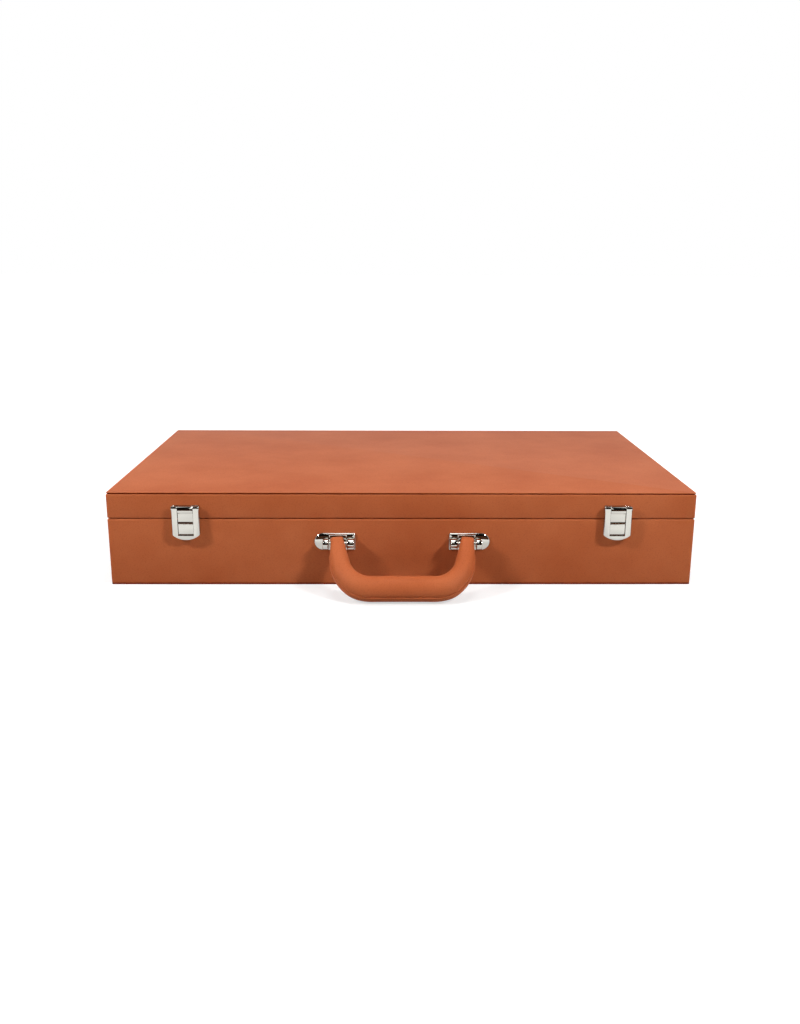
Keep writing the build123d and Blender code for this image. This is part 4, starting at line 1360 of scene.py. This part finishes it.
def makeMarker(side):
    inner, outer, deep = playing["ring"]
    bm = bmesh.new()
    for turn in cubeTurns():
        place = turn @ at(0, 0, side / 2)
        addTurned(bm, [(inner, -deep), (outer, -deep), (outer, deep), (inner, deep)], place, 36, closed=True)
        addTurned(bm, [(playing["hub"], -deep), (playing["hub"], deep)], place)
    return filledCarving(roundedCube(side, playing["markerRound"]), meshFrom(bm, "rings"), markerLayers)


# A counter with a hollow in each side and pale stripes round its rim, on red or on blue
def addCounter(bm, low, high, own):
    x, y, z = middleOf(low, high)
    radius, thick, edge = (high[0] - low[0]) / 2, high[2] - low[2], playing["counterEdge"]
    inner, outer, hollow = playing["counterHollow"]
    profile = [(radius * inner, hollow), (radius * outer, 0.0), (radius - edge, 0.0), (radius, edge)]
    profile += [(r, thick - h) for r, h in reversed(profile)]
    before = len(bm.faces)
    addTurned(bm, profile, at(x, y, low[2]), 48)
    bm.faces.ensure_lookup_table()
    for face in bm.faces[before:]:
        middle = face.calc_center_median() / mm - Vector((x, y, 0))
        share = (math.degrees(math.atan2(middle.y, middle.x)) % 360) / 360 * playing["counterStripes"]
        isStripe = share % 1 < playing["stripeShare"] and math.hypot(middle.x, middle.y) > radius * outer
        face.material_index = 1 if isStripe else own


def buildPlaying():
    die = makeDie()
    bm = bmesh.new()
    for i, (low, high) in enumerate(solidBoxes("dice")):
        stamp(bm, die, at(*middleOf(low, high)) @ cubeTurns()[(2 * i + 1) % 6])
    newPiece("dice_pipped", meshFrom(bm, "dice"), dieLayers, "dice_plastic", ["dice"])
    low, high = solidBoxes("wind_marker")[0]
    mesh = makeMarker(high[0] - low[0])
    mesh.transform(at(*middleOf(low, high)))
    newPiece("roundMarker_ringed", mesh, markerLayers, "dice_plastic", ["wind_marker"])
    bm = bmesh.new()
    for low, high in solidBoxes("chips"):
        addCounter(bm, low, high, 0 if low[1] < 0 else 2)
    newPiece("counters_striped", meshFrom(bm, "counters"), counterLayers, "chip_plastic", ["chips"])


buildPlaying()
print("dice, marker and counters laid")


# Lid pad: flocked cloth over wadding, sewn down in channels and puffed by a short cloth simulation

lidPad = {
    "half": (269.9, 156.4),
    "bottom": 67.2,
    "top": 83.4,
    "shrink": 2.4,
    "cornerRadius": 7.0,
    "edgeRound": 5.0,
    "channelsX": (-161.9, -54.0, 54.0, 161.9),
    "channelsY": (-52.1, 52.1),
    "channelWidth": 2.6,
    "channelDepth": 2.2,
    "sewnBelow": 4.0,
    "heldBelow": 2.0,
    "heldRoundNotch": (5.0, 6.0),
    "voxel": 5.0,
    "pressure": 4.0,
    "mass": 0.3,
    "frames": 20,
    "cap": 2.2,
    "lowest": 67.3,
    "notch": {"halfX": 26.5, "y": (152.6, 170.0), "z": (50.0, 79.0)},
}


def channelDistance(x, y):
    return min([abs(x - c) for c in lidPad["channelsX"]] + [abs(y - c) for c in lidPad["channelsY"]])


# Puffs the pad up, held at its back, along its channels and round the hinge notches
def puffed(mesh):
    pad = newObject("padUnderPressure", mesh)
    held = pad.vertex_groups.new(name="held")
    notch, (besideX, besideY) = lidPad["notch"], lidPad["heldRoundNotch"]
    for vert in mesh.vertices:
        x, y, z = [c / mm for c in vert.co]
        fromHinge = min(abs(x - c) for c in hinges["centres"])
        nearNotch = y > notch["y"][0] - besideY and fromHinge < notch["halfX"] + besideX
        if z > lidPad["top"] - lidPad["heldBelow"] or channelDistance(x, y) < lidPad["channelWidth"] or nearNotch:
            held.add([vert.index], 1.0, "REPLACE")
    cloth = addModifier(pad, "CLOTH")
    cloth.settings.quality = 5
    cloth.settings.mass = lidPad["mass"]
    cloth.settings.use_pressure = True
    cloth.settings.uniform_pressure_force = lidPad["pressure"]
    cloth.settings.vertex_group_mass = "held"
    cloth.settings.effector_weights.gravity = 0.0
    cloth.collision_settings.use_collision = False
    cloth.point_cache.frame_start = 1
    cloth.point_cache.frame_end = lidPad["frames"]
    for step in range(1, lidPad["frames"] + 1):
        scene.frame_set(step)
    result = evaluated(pad, "puffedPad")
    scene.frame_set(1)
    return result


def padBlank():
    halfX, halfY = [h - lidPad["shrink"] for h in lidPad["half"]]
    low, edge = lidPad["bottom"] + lidPad["shrink"], lidPad["edgeRound"]
    bm = bmesh.new()
    profile = arc(edge, low + edge, edge, 270, 180, 6) + [(0.0, lidPad["top"])]
    sweepRound(bm, profile, halfX, halfY, lidPad["cornerRadius"], cornerSteps=6, sideSteps=40)
    bmesh.ops.triangulate(bm, faces=[f for f in bm.faces if len(f.verts) > 4])
    return carved(meshFrom(bm, "pad"), drawn("padNotches", addHingeBlocks, **lidPad["notch"]))


def buildLidPad():
    shape = newObject("padShape", padBlank())
    addModifier(shape, "REMESH", mode="VOXEL", voxel_size=lidPad["voxel"] * mm)
    mesh = evaluated(shape, "remeshedPad")
    start = [vert.co.copy() for vert in mesh.vertices]
    mesh = puffed(mesh)
    for vert, was in zip(mesh.vertices, start):
        moved = vert.co - was
        if moved.length > lidPad["cap"] * mm:
            vert.co = was + moved.normalized() * lidPad["cap"] * mm

    pad = newObject("padSmooth", mesh)
    addModifier(pad, "SUBSURF", levels=1)
    mesh = evaluated(pad, "lidPad")
    limitX, limitY = lidPad["half"]
    for vert in mesh.vertices:
        x, y, z = [c / mm for c in vert.co]
        if z < lidPad["top"] - lidPad["sewnBelow"]:
            z += lidPad["channelDepth"] * math.exp(-(channelDistance(x, y) / lidPad["channelWidth"]) ** 2)
        z = min(max(z, lidPad["lowest"]), lidPad["top"])
        vert.co = Vector((max(min(x, limitX), -limitX), max(min(y, limitY), -limitY), z)) * mm
    piece = newPiece("lidPad_quilted", mesh, flock, "flocked_cloth", ["lid_pad"], smoothAngle=70)


buildLidPad()
print("lid pad quilted")
